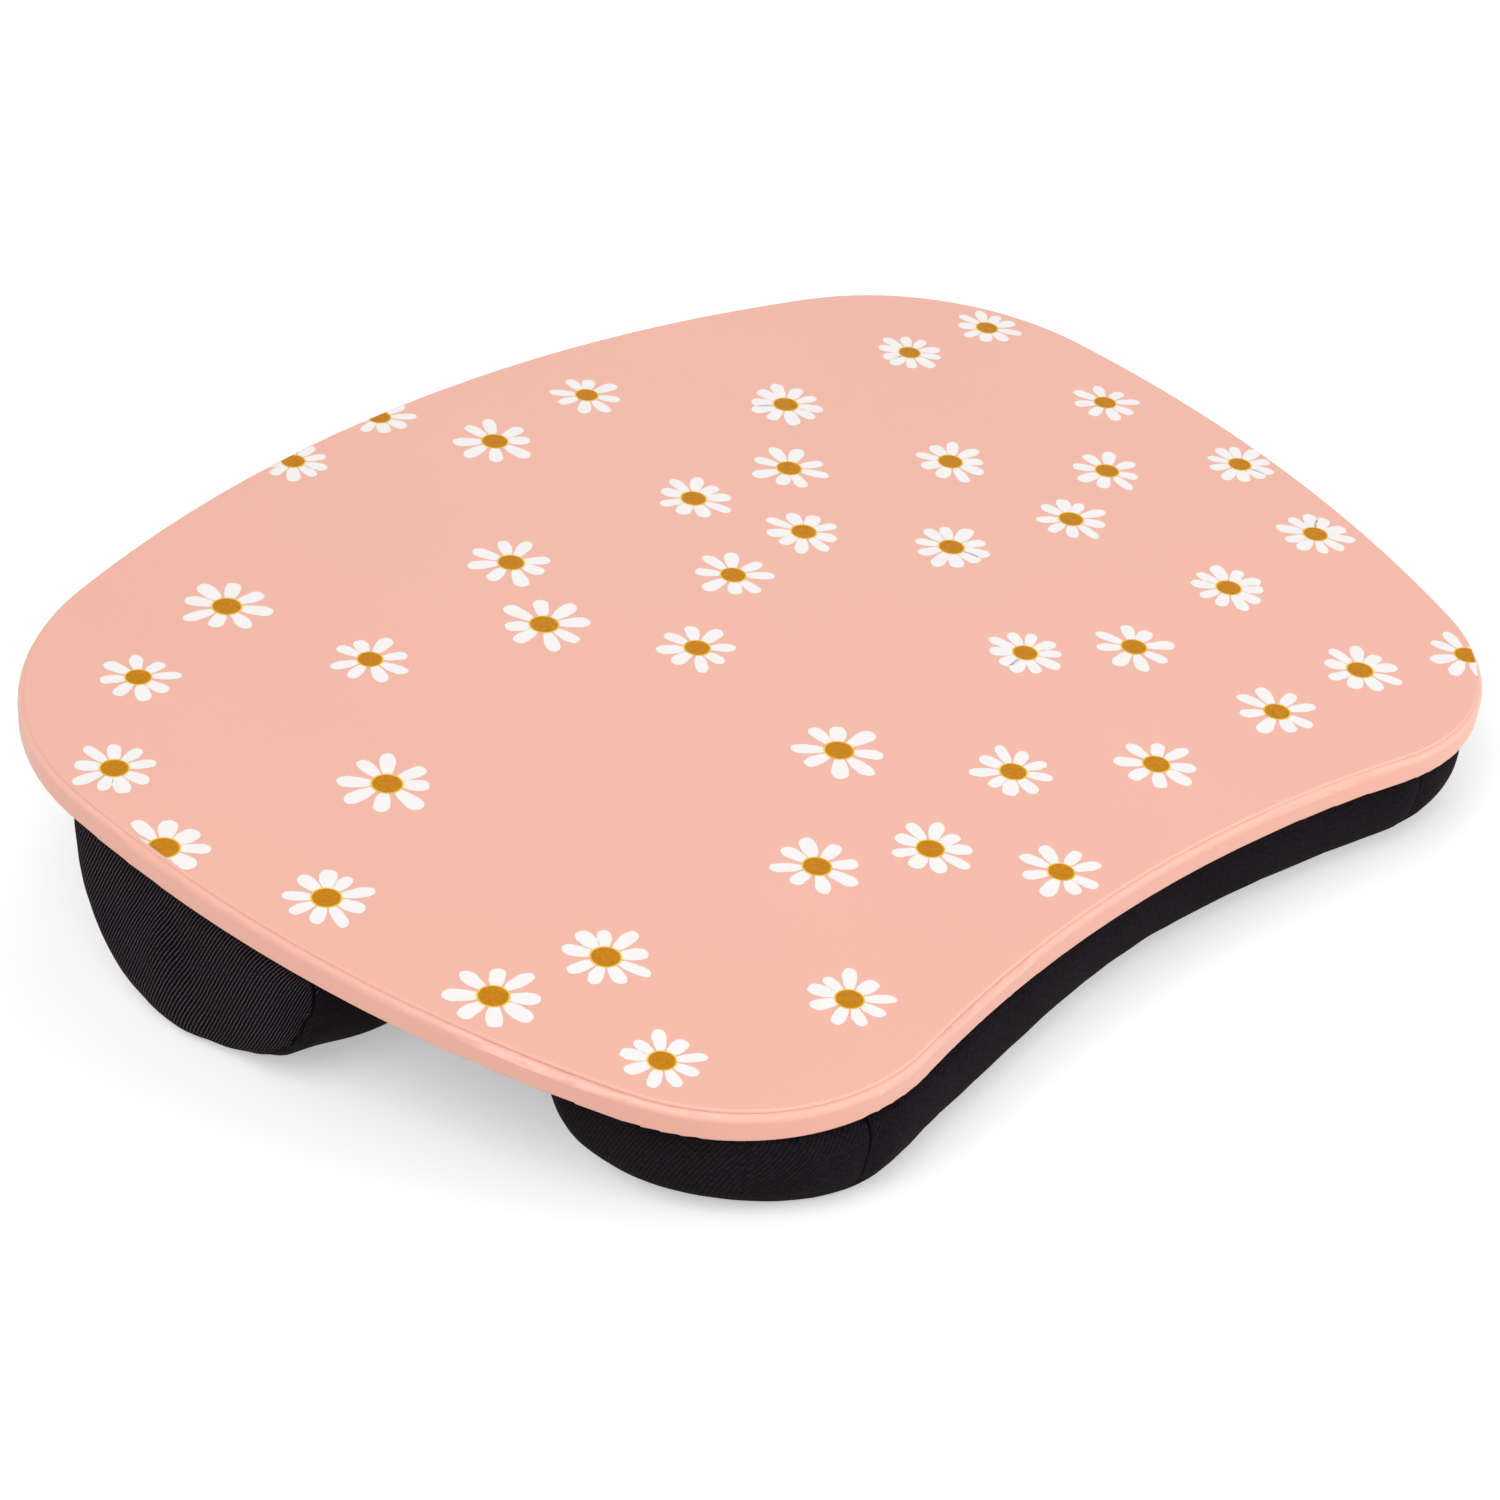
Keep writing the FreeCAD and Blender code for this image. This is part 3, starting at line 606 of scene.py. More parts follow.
def scatter_tree(inks):
    """Flowers of several kinds, scattered over a sheet at a least distance from each other."""
    tree, given, result = new_geometry_tree("scattered daisies", ("Seed",), SCATTER_SIZES, ("Sheet",))
    seed = given.outputs["Seed"]
    spots = add_node(tree, "GeometryNodeDistributePointsOnFaces", distribute_method="POISSON")
    feed(tree, spots.inputs["Mesh"], given.outputs["Sheet"])
    feed(tree, spots.inputs["Distance Min"], given.outputs["Spacing"])
    feed(tree, spots.inputs["Density Max"], given.outputs["Crowding"])
    feed(tree, spots.inputs["Seed"], seed)
    kinds = add_node(tree, "GeometryNodeJoinGeometry")
    one_daisy = daisy_tree()
    for kind, count in enumerate(PETAL_COUNTS):
        daisy = add_node(tree, "GeometryNodeGroup", node_tree=one_daisy)
        daisy.inputs["Petals"].default_value = count
        daisy.inputs["Seed"].default_value = kind
        for label in DAISY_SIZES:
            feed(tree, daisy.inputs[label], given.outputs[label])
        whole = add_node(tree, "GeometryNodeGeometryToInstance")
        feed(tree, whole.inputs[0], daisy.outputs[0])
        tree.links.new(whole.outputs[0], kinds.inputs[0])
    flowers = add_node(tree, "GeometryNodeInstanceOnPoints")
    flowers.inputs["Pick Instance"].default_value = True
    feed(tree, flowers.inputs["Points"], spots.outputs["Points"])
    feed(tree, flowers.inputs["Instance"], kinds.outputs[0])
    which = random_number(tree, 0, len(PETAL_COUNTS) - 1, maths(tree, "ADD", seed, KIND_DRAW), "INT")
    feed(tree, flowers.inputs["Instance Index"], which)
    turn = random_number(tree, 0.0, math.tau, maths(tree, "ADD", seed, TURN_DRAW))
    feed(tree, flowers.inputs["Rotation"], turned_about_z(tree, turn))
    scale = random_number(
        tree, given.outputs["Smallest"], given.outputs["Largest"], maths(tree, "ADD", seed, SCALE_DRAW))
    feed(tree, flowers.inputs["Scale"], vector_of(tree, scale, scale, 1.0))
    real = add_node(tree, "GeometryNodeRealizeInstances")
    feed(tree, real.inputs[0], flowers.outputs[0])
    part = add_node(tree, "GeometryNodeInputNamedAttribute", data_type="INT")
    part.inputs["Name"].default_value = "flower_part"
    painted = real.outputs[0]
    for value, ink in enumerate(inks):
        same = add_node(tree, "FunctionNodeCompare", data_type="INT", operation="EQUAL")
        feed(tree, same.inputs[COMPARE_FIRST], part.outputs[0])
        same.inputs[COMPARE_SECOND].default_value = value
        paint = add_node(tree, "GeometryNodeSetMaterial")
        feed(tree, paint.inputs["Geometry"], painted)
        feed(tree, paint.inputs["Selection"], same.outputs[0])
        paint.inputs["Material"].default_value = ink
        painted = paint.outputs[0]
    feed(tree, result.inputs[0], painted)
    return tree


def set_inputs(modifier, values):
    """Sets a geometry tree's named inputs on its modifier."""
    for item in modifier.node_group.interface.items_tree:
        if item.in_out == "INPUT" and item.name in values:
            modifier[item.identifier] = values[item.name]


def signed_area(outline):
    """Area inside an outline, above zero where it runs anticlockwise."""
    following = outline[1:] + outline[:1]
    return sum(a.x * b.y - b.x * a.y for a, b in zip(outline, following)) / 2


def trimmed(mesh, outline, border):
    """Cuts the ink off where it would pass the laminate's edge."""
    ink = bmesh.new()
    ink.from_mesh(mesh)
    count = len(outline)
    sense = 1 if signed_area(outline) > 0 else -1
    for face in list(ink.faces):
        centre = face.calc_center_median()
        nearest = min(range(count), key=lambda i: (outline[i] - centre).length_squared)
        along = (outline[(nearest + 1) % count] - outline[nearest - 1]).normalized()
        outward = Vector((along.y, -along.x, 0)) * sense
        limit = outline[nearest] - outward * border
        if max((vert.co - limit).dot(outward) for vert in face.verts) > 0:
            piece = [face, *face.edges, *face.verts]
            bmesh.ops.bisect_plane(ink, geom=piece, plane_co=limit, plane_no=outward, clear_outer=True)
    ink.to_mesh(mesh)
    ink.free()


def flat_sheet(name, outline):
    """A flat face with a given outline."""
    mesh = bpy.data.meshes.new(name)
    mesh.from_pydata([(point.x, point.y, 0) for point in outline], [], [list(range(len(outline)))])
    return mesh


class TRAY_OT_print_daisies(bpy.types.Operator):
    """Scatter the printed daisies over the laminate"""
    bl_idname = "tray.print_daisies"
    bl_label = "Print the daisies"

    def execute(self, context):
        look = context.scene.tray_daisies
        inks = (
            ink_finish("white petal ink", look.petal, spread=0.03, scale=220, shine=0.35),
            ink_finish("yellow ring ink", look.ring, spread=0.1, scale=500, shine=0.1),
            ink_finish("ochre centre ink", look.centre, spread=0.35, scale=900, shine=0.1),
        )
        outline = flat_outline("printed_top_sheet", 1)
        carrier = bpy.data.objects.new("daisy carrier", flat_sheet("daisy carrier", outline))
        context.scene.collection.objects.link(carrier)
        scatter = carrier.modifiers.new("scatter", "NODES")
        scatter.node_group = scatter_tree(inks)
        set_inputs(scatter, {
            "Spacing": look.spacing, "Crowding": look.crowding, "Seed": look.seed,
            "Smallest": look.smallest, "Largest": look.largest, "Reach": look.reach,
            "Petal width": look.petal_width, "Centre radius": look.centre_radius,
            "Ring width": look.ring_width, "Lift": look.lift, "Wobble": look.wobble})
        mesh = baked(carrier, "daisy_print")
        trimmed(mesh, outline, look.border)
        mesh.transform(BOARD @ Matrix.Translation((0, 0, look.lift)))
        add_piece("daisy_print", mesh, None)
        return {"FINISHED"}


# Cloth of the cushion

# Power that narrows the ribs, their mean height, and the lower mean on cloth whose ribs do not show,
# partly painted shade
RIB_SHARPNESS = 5.0
RIB_SHARE = 0.25
SHADED_FAINT_SHARE = 0.34 * RIB_SHARE
# How far the ribs stray from straight, in radians of a wave
STRAY = 3.0
STRAY_SCALE = 260
# Length of a thread's float in rib pitches, and the heights of its ends and its middle
FLOAT_PITCHES = 1.6
FLOAT_HEIGHTS = (0.75, 1.1)
RIB_RELIEF = 0.00025
RIB_STRENGTH = 0.8
TWILL_ROUGHNESS = 0.88
TWILL_SHINE = 0.03
# How clearly the ribs' painted highlights show on a panel, from 0 to 1
CLEAR_RIBS = 1.0
HALF_CLEAR_RIBS = 0.6
FAINT_RIBS = 0.1
# Widths of the painted shade in the seams' folds, the share of it that is darkest, and how dark that is
SEAM_WIDTHS = {"first_seam": 0.0007, "second_seam": 0.0005}
SEAM_CORE = 0.2
SEAM_SHADE = 0.6
# Distance that stands for no seam nearby
NO_SEAM = 1.0


def waves(tree, cloth, direction, pitch, stray):
    """Soft waves across a direction of the cloth, from 0 to 1."""
    dot = add_node(tree, "ShaderNodeVectorMath", operation="DOT_PRODUCT")
    feed(tree, dot.inputs[0], cloth)
    dot.inputs[1].default_value = direction
    phase = maths(tree, "MULTIPLY", dot.outputs["Value"], math.tau / pitch)
    wave = maths(tree, "SINE", maths(tree, "ADD", phase, stray))
    return maths(tree, "ADD", maths(tree, "MULTIPLY", wave, 0.5), 0.5)


def unevenness(tree, cloth, scale, detail, reach, spread):
    """A number about 1 that varies from place to place."""
    pattern = mottle(tree, cloth, scale, detail)
    return ranged(tree, pattern, NOISE_MIDDLE - reach, NOISE_MIDDLE + reach, 1 - spread, 1 + spread)


def clear_of_seam_shade(tree):
    """0 in a seam's fold, where shade is painted, 1 away from it."""
    clear = 1.0
    for name, width in SEAM_WIDTHS.items():
        gap = add_node(tree, "ShaderNodeAttribute", attribute_name=name).outputs["Fac"]
        wide = ranged(tree, maths(tree, "ABSOLUTE", gap), width * SEAM_CORE, width, 0.0, 1.0)
        clear = maths(tree, "MULTIPLY", clear, wide)
    return clear


def twill_finish(look):
    """Black twill: steep ribs of short floats, with a painted highlight on their tops and painted shade
    between them and in the seams.
    """
    finish, tree, surface = new_finish("black twill")
    cloth = add_node(tree, "ShaderNodeUVMap", uv_map="cloth").outputs[0]
    across = (math.sin(look.rib_angle), -math.cos(look.rib_angle), 0)
    along = (math.cos(look.rib_angle), math.sin(look.rib_angle), 0)
    stray = maths(tree, "MULTIPLY", mottle(tree, cloth, STRAY_SCALE), STRAY)
    # The ribs' tops take a painted highlight and the gaps between them painted shade
    rib = maths(tree, "POWER", waves(tree, cloth, across, look.rib_pitch, stray), RIB_SHARPNESS)
    floats = waves(tree, cloth, along, look.rib_pitch * FLOAT_PITCHES, stray)
    height = maths(tree, "MULTIPLY", rib, ranged(tree, floats, 0.0, 1.0, *FLOAT_HEIGHTS))
    fibre = unevenness(tree, cloth, scale=2600, detail=3, reach=0.25, spread=0.25)
    height = maths(tree, "MULTIPLY", height, fibre)
    show = add_node(tree, "ShaderNodeAttribute", attribute_name="rib_show").outputs["Fac"]
    # Cloth whose ribs are faint is painted darker, partly as shade
    middle = ranged(tree, show, 0.0, 1.0, SHADED_FAINT_SHARE, RIB_SHARE)
    contrast = maths(tree, "MULTIPLY", maths(tree, "SUBTRACT", height, RIB_SHARE), show)
    share = maths(tree, "ADD", middle, contrast)
    # The cloth's tone drifts darker and lighter over about 2 cm
    tone_drift = unevenness(tree, cloth, scale=45, detail=3, reach=0.25, spread=0.18)
    grain = unevenness(tree, cloth, scale=750, detail=2, reach=0.2, spread=0.3)
    share = maths(tree, "MULTIPLY", maths(tree, "MULTIPLY", share, tone_drift), grain)
    line = clear_of_seam_shade(tree)
    # Painted shade in the seams' folds: the colour between ribs, darker still
    painted_seam_shade = [part * SEAM_SHADE for part in look.shadow[:3]] + [1]
    colour = blended(tree, line, painted_seam_shade, blended(tree, share, look.shadow, look.cloth))
    feed(tree, surface.inputs["Base Color"], colour)
    depth = maths(tree, "MULTIPLY", maths(tree, "MULTIPLY", height, line), show)
    feed(tree, surface.inputs["Normal"], raised(tree, depth, RIB_RELIEF, RIB_STRENGTH))
    surface.inputs["Roughness"].default_value = TWILL_ROUGHNESS
    surface.inputs["Specular IOR Level"].default_value = TWILL_SHINE
    return finish


def shared_twill(context):
    """The one twill finish that all the cloth takes."""
    known = bpy.data.materials.get("black twill")
    return known or twill_finish(context.scene.tray_cushion)


def smooth_share(value, low, high):
    """0 below a range, 1 above it, with a soft change between."""
    share = min(1.0, max(0.0, (value - low) / (high - low)))
    return share * share * (3 - 2 * share)


def write_floats(mesh, name, values):
    """A number for each vertex of a mesh."""
    layer = mesh.attributes.new(name, "FLOAT", "POINT")
    layer.data.foreach_set("value", values)


def write_cloth_map(mesh, corner_place):
    """Cloth coordinates in metres for each corner of each face."""
    layer = mesh.uv_layers.new(name="cloth")
    for face in mesh.polygons:
        for corner in face.loop_indices:
            vert = mesh.vertices[mesh.loops[corner].vertex_index]
            layer.data[corner].uv = corner_place(vert.co, vert.normal, face)


# Lower and upper face of the base cloth, in board coordinates
TO_BOARD = BOARD.inverted()
BASE_OUTLINE = flat_outline("cushion_base_panel", -1)
BASE_LOW = min(point.z for point in BASE_OUTLINE)
BASE_HIGH = max(point.z for point in flat_outline("cushion_base_panel", 1))
# Cloth this close under the base cloth is held while the filling pushes
TOP_BAND = 0.005
SOFTEN_FACTOR = 0.5
SOFTEN_ROUNDS = 2
SIM_FRAMES = 20
SIM_QUALITY = 6
# How far out the search for the sewn panels starts, and how far from the filling they can lie
COVER_PROBE = 0.02
COVER_REACH = 0.006
EVENING_ROUNDS = 4


def stuffed_start(node, name, grid):
    """The filling's shape as an even mesh, the start of a stuffed piece."""
    start = bpy.data.meshes.new(name)
    shape = bmesh.new()
    shape.from_mesh(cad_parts[node].data)
    bmesh.ops.remove_doubles(shape, verts=shape.verts, dist=MERGE)
    bmesh.ops.recalc_face_normals(shape, faces=shape.faces)
    shape.to_mesh(start)
    shape.free()
    owner = bpy.data.objects.new(name, start)
    bpy.context.scene.collection.objects.link(owner)
    even = owner.modifiers.new("even", "REMESH")
    even.mode = "VOXEL"
    even.voxel_size = grid
    even.use_smooth_shade = True
    soften = owner.modifiers.new("soften", "SMOOTH")
    soften.factor = SOFTEN_FACTOR
    soften.iterations = SOFTEN_ROUNDS
    return baked(owner, name)


def under_base(point):
    """Distance from a point up to the base cloth's lower face."""
    return BASE_LOW - (TO_BOARD @ point).z


def evened(mesh, values):
    """A number for each vertex, averaged with those of its neighbours a few times."""
    neighbours = [[] for vert in mesh.vertices]
    for edge in mesh.edges:
        one, other = edge.vertices
        neighbours[one].append(other)
        neighbours[other].append(one)
    for turn in range(EVENING_ROUNDS):
        values = [
            (value + sum(values[i] for i in beside)) / (1 + len(beside))
            for value, beside in zip(values, neighbours)]
    return values


def to_cover(mesh, panels, usual):
    """Distance from each vertex out to the sewn panels' outside, or a usual one where no panel lies."""
    cover = bmesh.new()
    for node in panels:
        cover.from_mesh(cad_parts[node].data)
    surface = BVHTree.FromBMesh(cover)
    cover.free()
    gaps = []
    for vert in mesh.vertices:
        probe = vert.co + vert.normal * COVER_PROBE
        hit = surface.ray_cast(probe, -vert.normal, COVER_PROBE)[0]
        gaps.append((hit - vert.co).length if hit and (hit - vert.co).length < COVER_REACH else usual)
    return evened(mesh, gaps)


def filled(mesh, panels, look):
    """Places of the vertices after the filling has pushed the cloth out, held at the base cloth."""
    normals = [vert.normal.copy() for vert in mesh.vertices]
    gaps = to_cover(mesh, panels, look.thickness)
    starts = [vert.co + normal * gap for vert, normal, gap in zip(mesh.vertices, normals, gaps)]
    owner = bpy.data.objects.new("filling", mesh.copy())
    bpy.context.scene.collection.objects.link(owner)
    held = owner.vertex_groups.new(name="held")
    held.add([i for i, co in enumerate(starts) if under_base(co) < TOP_BAND], 1.0, "REPLACE")
    cloth = owner.modifiers.new("filling", "CLOTH")
    cloth.settings.use_pressure = True
    cloth.settings.uniform_pressure_force = look.pressure
    cloth.settings.effector_weights.gravity = 0
    cloth.settings.vertex_group_mass = "held"
    cloth.settings.quality = SIM_QUALITY
    cloth.collision_settings.use_collision = False
    cloth.point_cache.frame_start = 1
    cloth.point_cache.frame_end = SIM_FRAMES
    for step in range(1, SIM_FRAMES + 1):
        bpy.context.scene.frame_set(step)
    swollen = baked(owner, "filling")
    places = []
    for vert, start, normal, after in zip(mesh.vertices, starts, normals, swollen.vertices):
        outward = (after.co - vert.co).dot(normal)
        places.append(start + normal * min(look.swell, max(0.0, outward)))
    bpy.data.meshes.remove(swollen)
    bpy.context.scene.frame_set(1)
    return places


def finer(mesh, name):
    """One subdivision of a mesh."""
    owner = bpy.data.objects.new(name, mesh)
    bpy.context.scene.collection.objects.link(owner)
    divide = owner.modifiers.new("finer", "SUBSURF")
    divide.levels = 1
    divide.render_levels = 1
    return baked(owner, name)


# Gap kept to the ground and to the base cloth
REST_CLEARANCE = 0.0002
# Puckers beside a seam: how many crease reaches away they end, their waves across it per metre,
# and a place in the noise
PUCKER_END = 3
PUCKER_ACROSS = 40
PUCKER_PLACE = 3.7


def settled(point):
    """A point kept on or above the ground and under the base cloth."""
    placed = point.copy()
    placed.z = max(placed.z, REST_CLEARANCE)
    local = TO_BOARD @ placed
    if local.z > BASE_LOW - REST_CLEARANCE:
        local.z = BASE_LOW - REST_CLEARANCE
        placed = BOARD @ local
    return placed


def drawn_in(mesh, seams, look):
    """Draws the cloth in along its seams and puckers it beside them."""
    moves = []
    for vert in mesh.vertices:
        inward = 0.0
        for gap, along, depth in seams(vert.co):
            near = abs(gap) / look.crease_reach
            if near < PUCKER_END:
                fold = look.crease * max(0.0, 1 - near) ** 2
                spot = Vector((along / look.pucker_pitch, gap * PUCKER_ACROSS, PUCKER_PLACE))
                wave = noise.noise(spot)
                inward += depth * (fold + look.pucker * wave * math.exp(-near))
        moves.append(vert.normal * -inward)
    for vert, move in zip(mesh.vertices, moves):
        vert.co = settled(vert.co + move)


def write_seams(mesh, seams):
    """Signed distance to each kind of seam, for the painted shade in its fold."""
    columns = [[] for name in SEAM_WIDTHS]
    for vert in mesh.vertices:
        gaps = [gap for gap, along, depth in seams(vert.co)]
        for column, gap in zip(columns, gaps + [NO_SEAM] * (len(SEAM_WIDTHS) - len(gaps))):
            column.append(gap)
    for name, column in zip(SEAM_WIDTHS, columns):
        write_floats(mesh, name, column)


def stuffed_piece(context, name, fill_node, seams, shape_move, cloth_place, rib_show, nodes):
    """A bolster: filled, drawn in at its seams and finished in twill."""
    look = context.scene.tray_cushion
    mesh = stuffed_start(fill_node, name, look.grid)
    panels = [node for node in nodes if node != fill_node]
    for vert, place in zip(mesh.vertices, filled(mesh, panels, look)):
        vert.co = place
    mesh.update()
    moved = [vert.co + shape_move(vert.co, vert.normal) for vert in mesh.vertices]
    for vert, place in zip(mesh.vertices, moved):
        vert.co = settled(place)
    mesh = finer(mesh, name)
    drawn_in(mesh, seams, look)
    mesh.update()
    write_seams(mesh, seams)
    write_floats(mesh, "rib_show", [rib_show(vert.co) for vert in mesh.vertices])
    write_cloth_map(mesh, cloth_place)
    for face in mesh.polygons:
        face.use_smooth = True
    piece = add_piece(name, mesh, [shared_twill(context)])
    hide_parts(*nodes)
    return piece


# The rear bolster

# The seams lie a little outside the body panel
SEAM_ALLOWANCE = 0.002
REAR_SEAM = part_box("rear_bolster_body_panel")[1].x + SEAM_ALLOWANCE
REAR_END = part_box("rear_bolster_right_end")[1].x
REAR_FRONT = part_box("rear_bolster_body_panel")[0].y
# Usual depth of an end's seam, and where it turns under the front: below a height, near the front
REAR_SEAM_DEPTH = 0.5
TURN_UNDER_Z = 0.035
TURN_UNDER_Y = REAR_FRONT + 0.035
TURN_SOFT_Z = 0.02
TURN_SOFT_Y = 0.025
# Least share of a rim's normal that lies in the end panel's plane
LEAST_SLANT = 0.3
# Middle of the bolster's round lower side, about which the turn of a place is measured
REAR_AXIS_Y = 0.027
REAR_AXIS_Z = 0.042
# Fullness behind: its height, the turn in degrees where it is greatest, how far it reaches to each
# side of that, the turns over which it starts, and its loss away from the ends
BEHIND_FULLNESS = 0.0032
BEHIND_TURN = 12
BEHIND_REACH = 84
BEHIND_START = (-35, 0)
BEHIND_LOSS = 0.5
BEHIND_LOSS_PLACE = (0.02, 0.05)
# Fullness low in front: its height, the slopes of the cloth that it is for, and how far from an end
# it starts
UNDER_FULLNESS = 0.004
UNDER_DOWNWARD = (0.1, 0.5)
UNDER_FORWARD = (0.05, 0.3)
UNDER_START = (0.01, 0.035)


def rear_seams(point):
    """Seams round both ends, puckered most where they turn under the front."""
    low = smooth_share(TURN_UNDER_Z - point.z, 0, TURN_SOFT_Z)
    ahead = smooth_share(TURN_UNDER_Y - point.y, 0, TURN_SOFT_Y)
    return [(abs(point.x) - REAR_SEAM, point.y - point.z, REAR_SEAM_DEPTH + low * ahead)]


def rear_ribs(point):
    """The ribs show clearly on the end panels and faintly on the body panel, which is painted darker,
    partly as shade.
    """
    return CLEAR_RIBS if abs(point.x) > REAR_SEAM else FAINT_RIBS


def rear_cloth_place(point, normal, face):
    """End panels lie flat in Y and Z and bend round their rims; the body panel wraps round."""
    if abs(face.center.x) > REAR_SEAM:
        slant = max(math.hypot(normal.y, normal.z), LEAST_SLANT)
        bend = max(0.0, REAR_END - abs(point.x)) / slant
        y, z = point.y + bend * normal.y, point.z + bend * normal.z
        return (y if face.center.x > 0 else -y, z)
    if abs(face.normal.z) > abs(face.normal.y):
        return (point.x, point.y)
    return (point.x if face.normal.y < 0 else -point.x, point.z)


def rear_shape(point, normal):
    """The rear bolster is fullest low behind, most of all at its ends, and low in front between."""
    to_end = REAR_END - abs(point.x)
    turn = math.degrees(math.atan2(point.y - REAR_AXIS_Y, REAR_AXIS_Z - point.z))
    off_peak = max(-1, min(1, (turn - BEHIND_TURN) / BEHIND_REACH))
    behind = math.cos(off_peak * math.pi / 2) ** 2 * smooth_share(turn, *BEHIND_START)
    behind *= 1 - BEHIND_LOSS * smooth_share(to_end, *BEHIND_LOSS_PLACE)
    under = smooth_share(-normal.z, *UNDER_DOWNWARD) * smooth_share(-normal.y, *UNDER_FORWARD)
    under *= smooth_share(to_end, *UNDER_START)
    return normal * (BEHIND_FULLNESS * behind + UNDER_FULLNESS * under)


class TRAY_OT_stuff_rear_bolster(bpy.types.Operator):
    """Stuff and sew the rear bolster"""
    bl_idname = "tray.stuff_rear_bolster"
    bl_label = "Stuff the rear bolster"

    def execute(self, context):
        stuffed_piece(
            context, "rear_bolster", "rear_bolster_bead_fill", rear_seams, rear_shape, rear_cloth_place,
            rear_ribs, ("rear_bolster_body_panel", "rear_bolster_left_end", "rear_bolster_right_end",
                        "rear_bolster_bead_fill"))
        return {"FINISHED"}


# The front bolster

FRONT_SEAM_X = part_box("front_bolster_front_band")[1].x
FRONT_SEAM_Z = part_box("front_bolster_front_band")[0].z
FRONT_LOW, FRONT_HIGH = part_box("front_bolster_bead_fill")
FRONT_MIDDLE_Y = (FRONT_LOW.y + FRONT_HIGH.y) / 2
# The left upright seam lies further out than the right one
LEFT_SEAM_SHIFT = 0.006
UPRIGHT_SEAM_DEPTH = 0.8
LOWER_SEAM_DEPTH = 0.2
# A face that is this level belongs to the bottom
BOTTOM_FACING = 0.75
# Fullness of the two lobes: its height, and where it starts and ends along X.
# On the left it is for cloth that faces forward
LEFT_FULLNESS = 0.0053
LEFT_START = (-0.02, 0.08)
LEFT_END = (0.115, 0.165)
RIGHT_FULLNESS = 0.0016
RIGHT_START = (0.125, 0.16)
LOBE_FORWARD = (-0.1, 0.5)


def front_seams(point):
    """Upright seams beside the front band, and the seam round the bottom."""
    seam = FRONT_SEAM_X if point.x > 0 else FRONT_SEAM_X + LEFT_SEAM_SHIFT
    upright = abs(point.x) - seam if point.z > FRONT_SEAM_Z else NO_SEAM
    valley = point.y > FRONT_MIDDLE_Y and abs(point.x) < FRONT_SEAM_X
    lower = NO_SEAM if valley else point.z - FRONT_SEAM_Z
    return [
        (upright, point.z, UPRIGHT_SEAM_DEPTH),
        (lower, point.x + point.y, LOWER_SEAM_DEPTH),
    ]


def front_ribs(point):
    """The ribs show faintly all over the front bolster, which is painted darker than the rear bolster's
    ends, partly as shade.
    """
    return FAINT_RIBS


def front_cloth_place(point, normal, face):
    """The bottom lies flat in X and Y; the upright cloth runs along the wall."""
    if abs(face.normal.z) > BOTTOM_FACING:
        return (point.x, point.y)
    if abs(face.normal.x) > abs(face.normal.y):
        return (point.y if face.normal.x > 0 else -point.y, point.z)
    return (point.x if face.normal.y < 0 else -point.x, point.z)


def front_shape(point, normal):
    """The left lobe is fuller than the right one, most of all beside the hollow."""
    left = smooth_share(-point.x, *LEFT_START) * (1 - smooth_share(-point.x, *LEFT_END))
    right = smooth_share(point.x, *RIGHT_START)
    ahead = smooth_share(-normal.y, *LOBE_FORWARD)
    return normal * (LEFT_FULLNESS * left * ahead + RIGHT_FULLNESS * right)


class TRAY_OT_stuff_front_bolster(bpy.types.Operator):
    """Stuff and sew the front bolster"""
    bl_idname = "tray.stuff_front_bolster"
    bl_label = "Stuff the front bolster"

    def execute(self, context):
        stuffed_piece(
            context, "front_bolster", "front_bolster_bead_fill", front_seams, front_shape,
            front_cloth_place, front_ribs,
            ("front_bolster_bottom_panel", "front_bolster_front_band", "front_bolster_left_end",
             "front_bolster_right_end", "front_bolster_bead_fill"))
        return {"FINISHED"}


# The base cloth between the board and the bolsters

CLOTH_COLUMNS = 120
CLOTH_ROWS = 60
# Kept off the outline's ends, where a column would have no length
END_MARGIN = 0.0004
# The cloth lies this far under the solid's upper face and is this much thinner, to stay clear of both
BASE_GAP = 0.0004
BASE_THINNING = 0.0005
# Height of the slack, its waves per metre and a place in the noise
SLACK = 0.0003
SLACK_SCALE = 35
SLACK_PLACE = 1.3


def column_limits(outline, x):
    """Front and rear edge of an outline on a line at one x."""
    crossings = []
    for here, there in zip(outline, outline[1:] + outline[:1]):
        low, high = sorted((here, there), key=lambda point: point.x)
        if low.x <= x < high.x:
            share = (x - low.x) / (high.x - low.x)
            crossings.append(low.y + (high.y - low.y) * share)
    return min(crossings), max(crossings)


def base_cloth_mesh(look):
    """The base cloth: flat on the board, with a very slight slack."""
    reach = max(point.x for point in BASE_OUTLINE) - END_MARGIN
    points, faces = [], []
    for column in range(CLOTH_COLUMNS + 1):
        x = -reach * math.cos(math.pi * column / CLOTH_COLUMNS)
        front, rear = column_limits(BASE_OUTLINE, x)
        for row in range(CLOTH_ROWS + 1):
            y = front + (rear - front) * row / CLOTH_ROWS
            spot = Vector((x * SLACK_SCALE, y * SLACK_SCALE, SLACK_PLACE))
            points.append((x, y, BASE_HIGH - BASE_GAP + SLACK * noise.noise(spot)))
    step = CLOTH_ROWS + 1
    for column in range(CLOTH_COLUMNS):
        for row in range(CLOTH_ROWS):
            first = column * step + row
            faces.append((first, first + step, first + step + 1, first + 1))
    mesh = bpy.data.meshes.new("base cloth")
    mesh.from_pydata(points, [], faces)
    owner = bpy.data.objects.new("base cloth", mesh)
    bpy.context.scene.collection.objects.link(owner)
    wall = owner.modifiers.new("thickness", "SOLIDIFY")
    wall.thickness = look.thickness - BASE_THINNING
    wall.offset = -1
    mesh = baked(owner, "base_cloth")
    mesh.transform(BOARD)
    return mesh


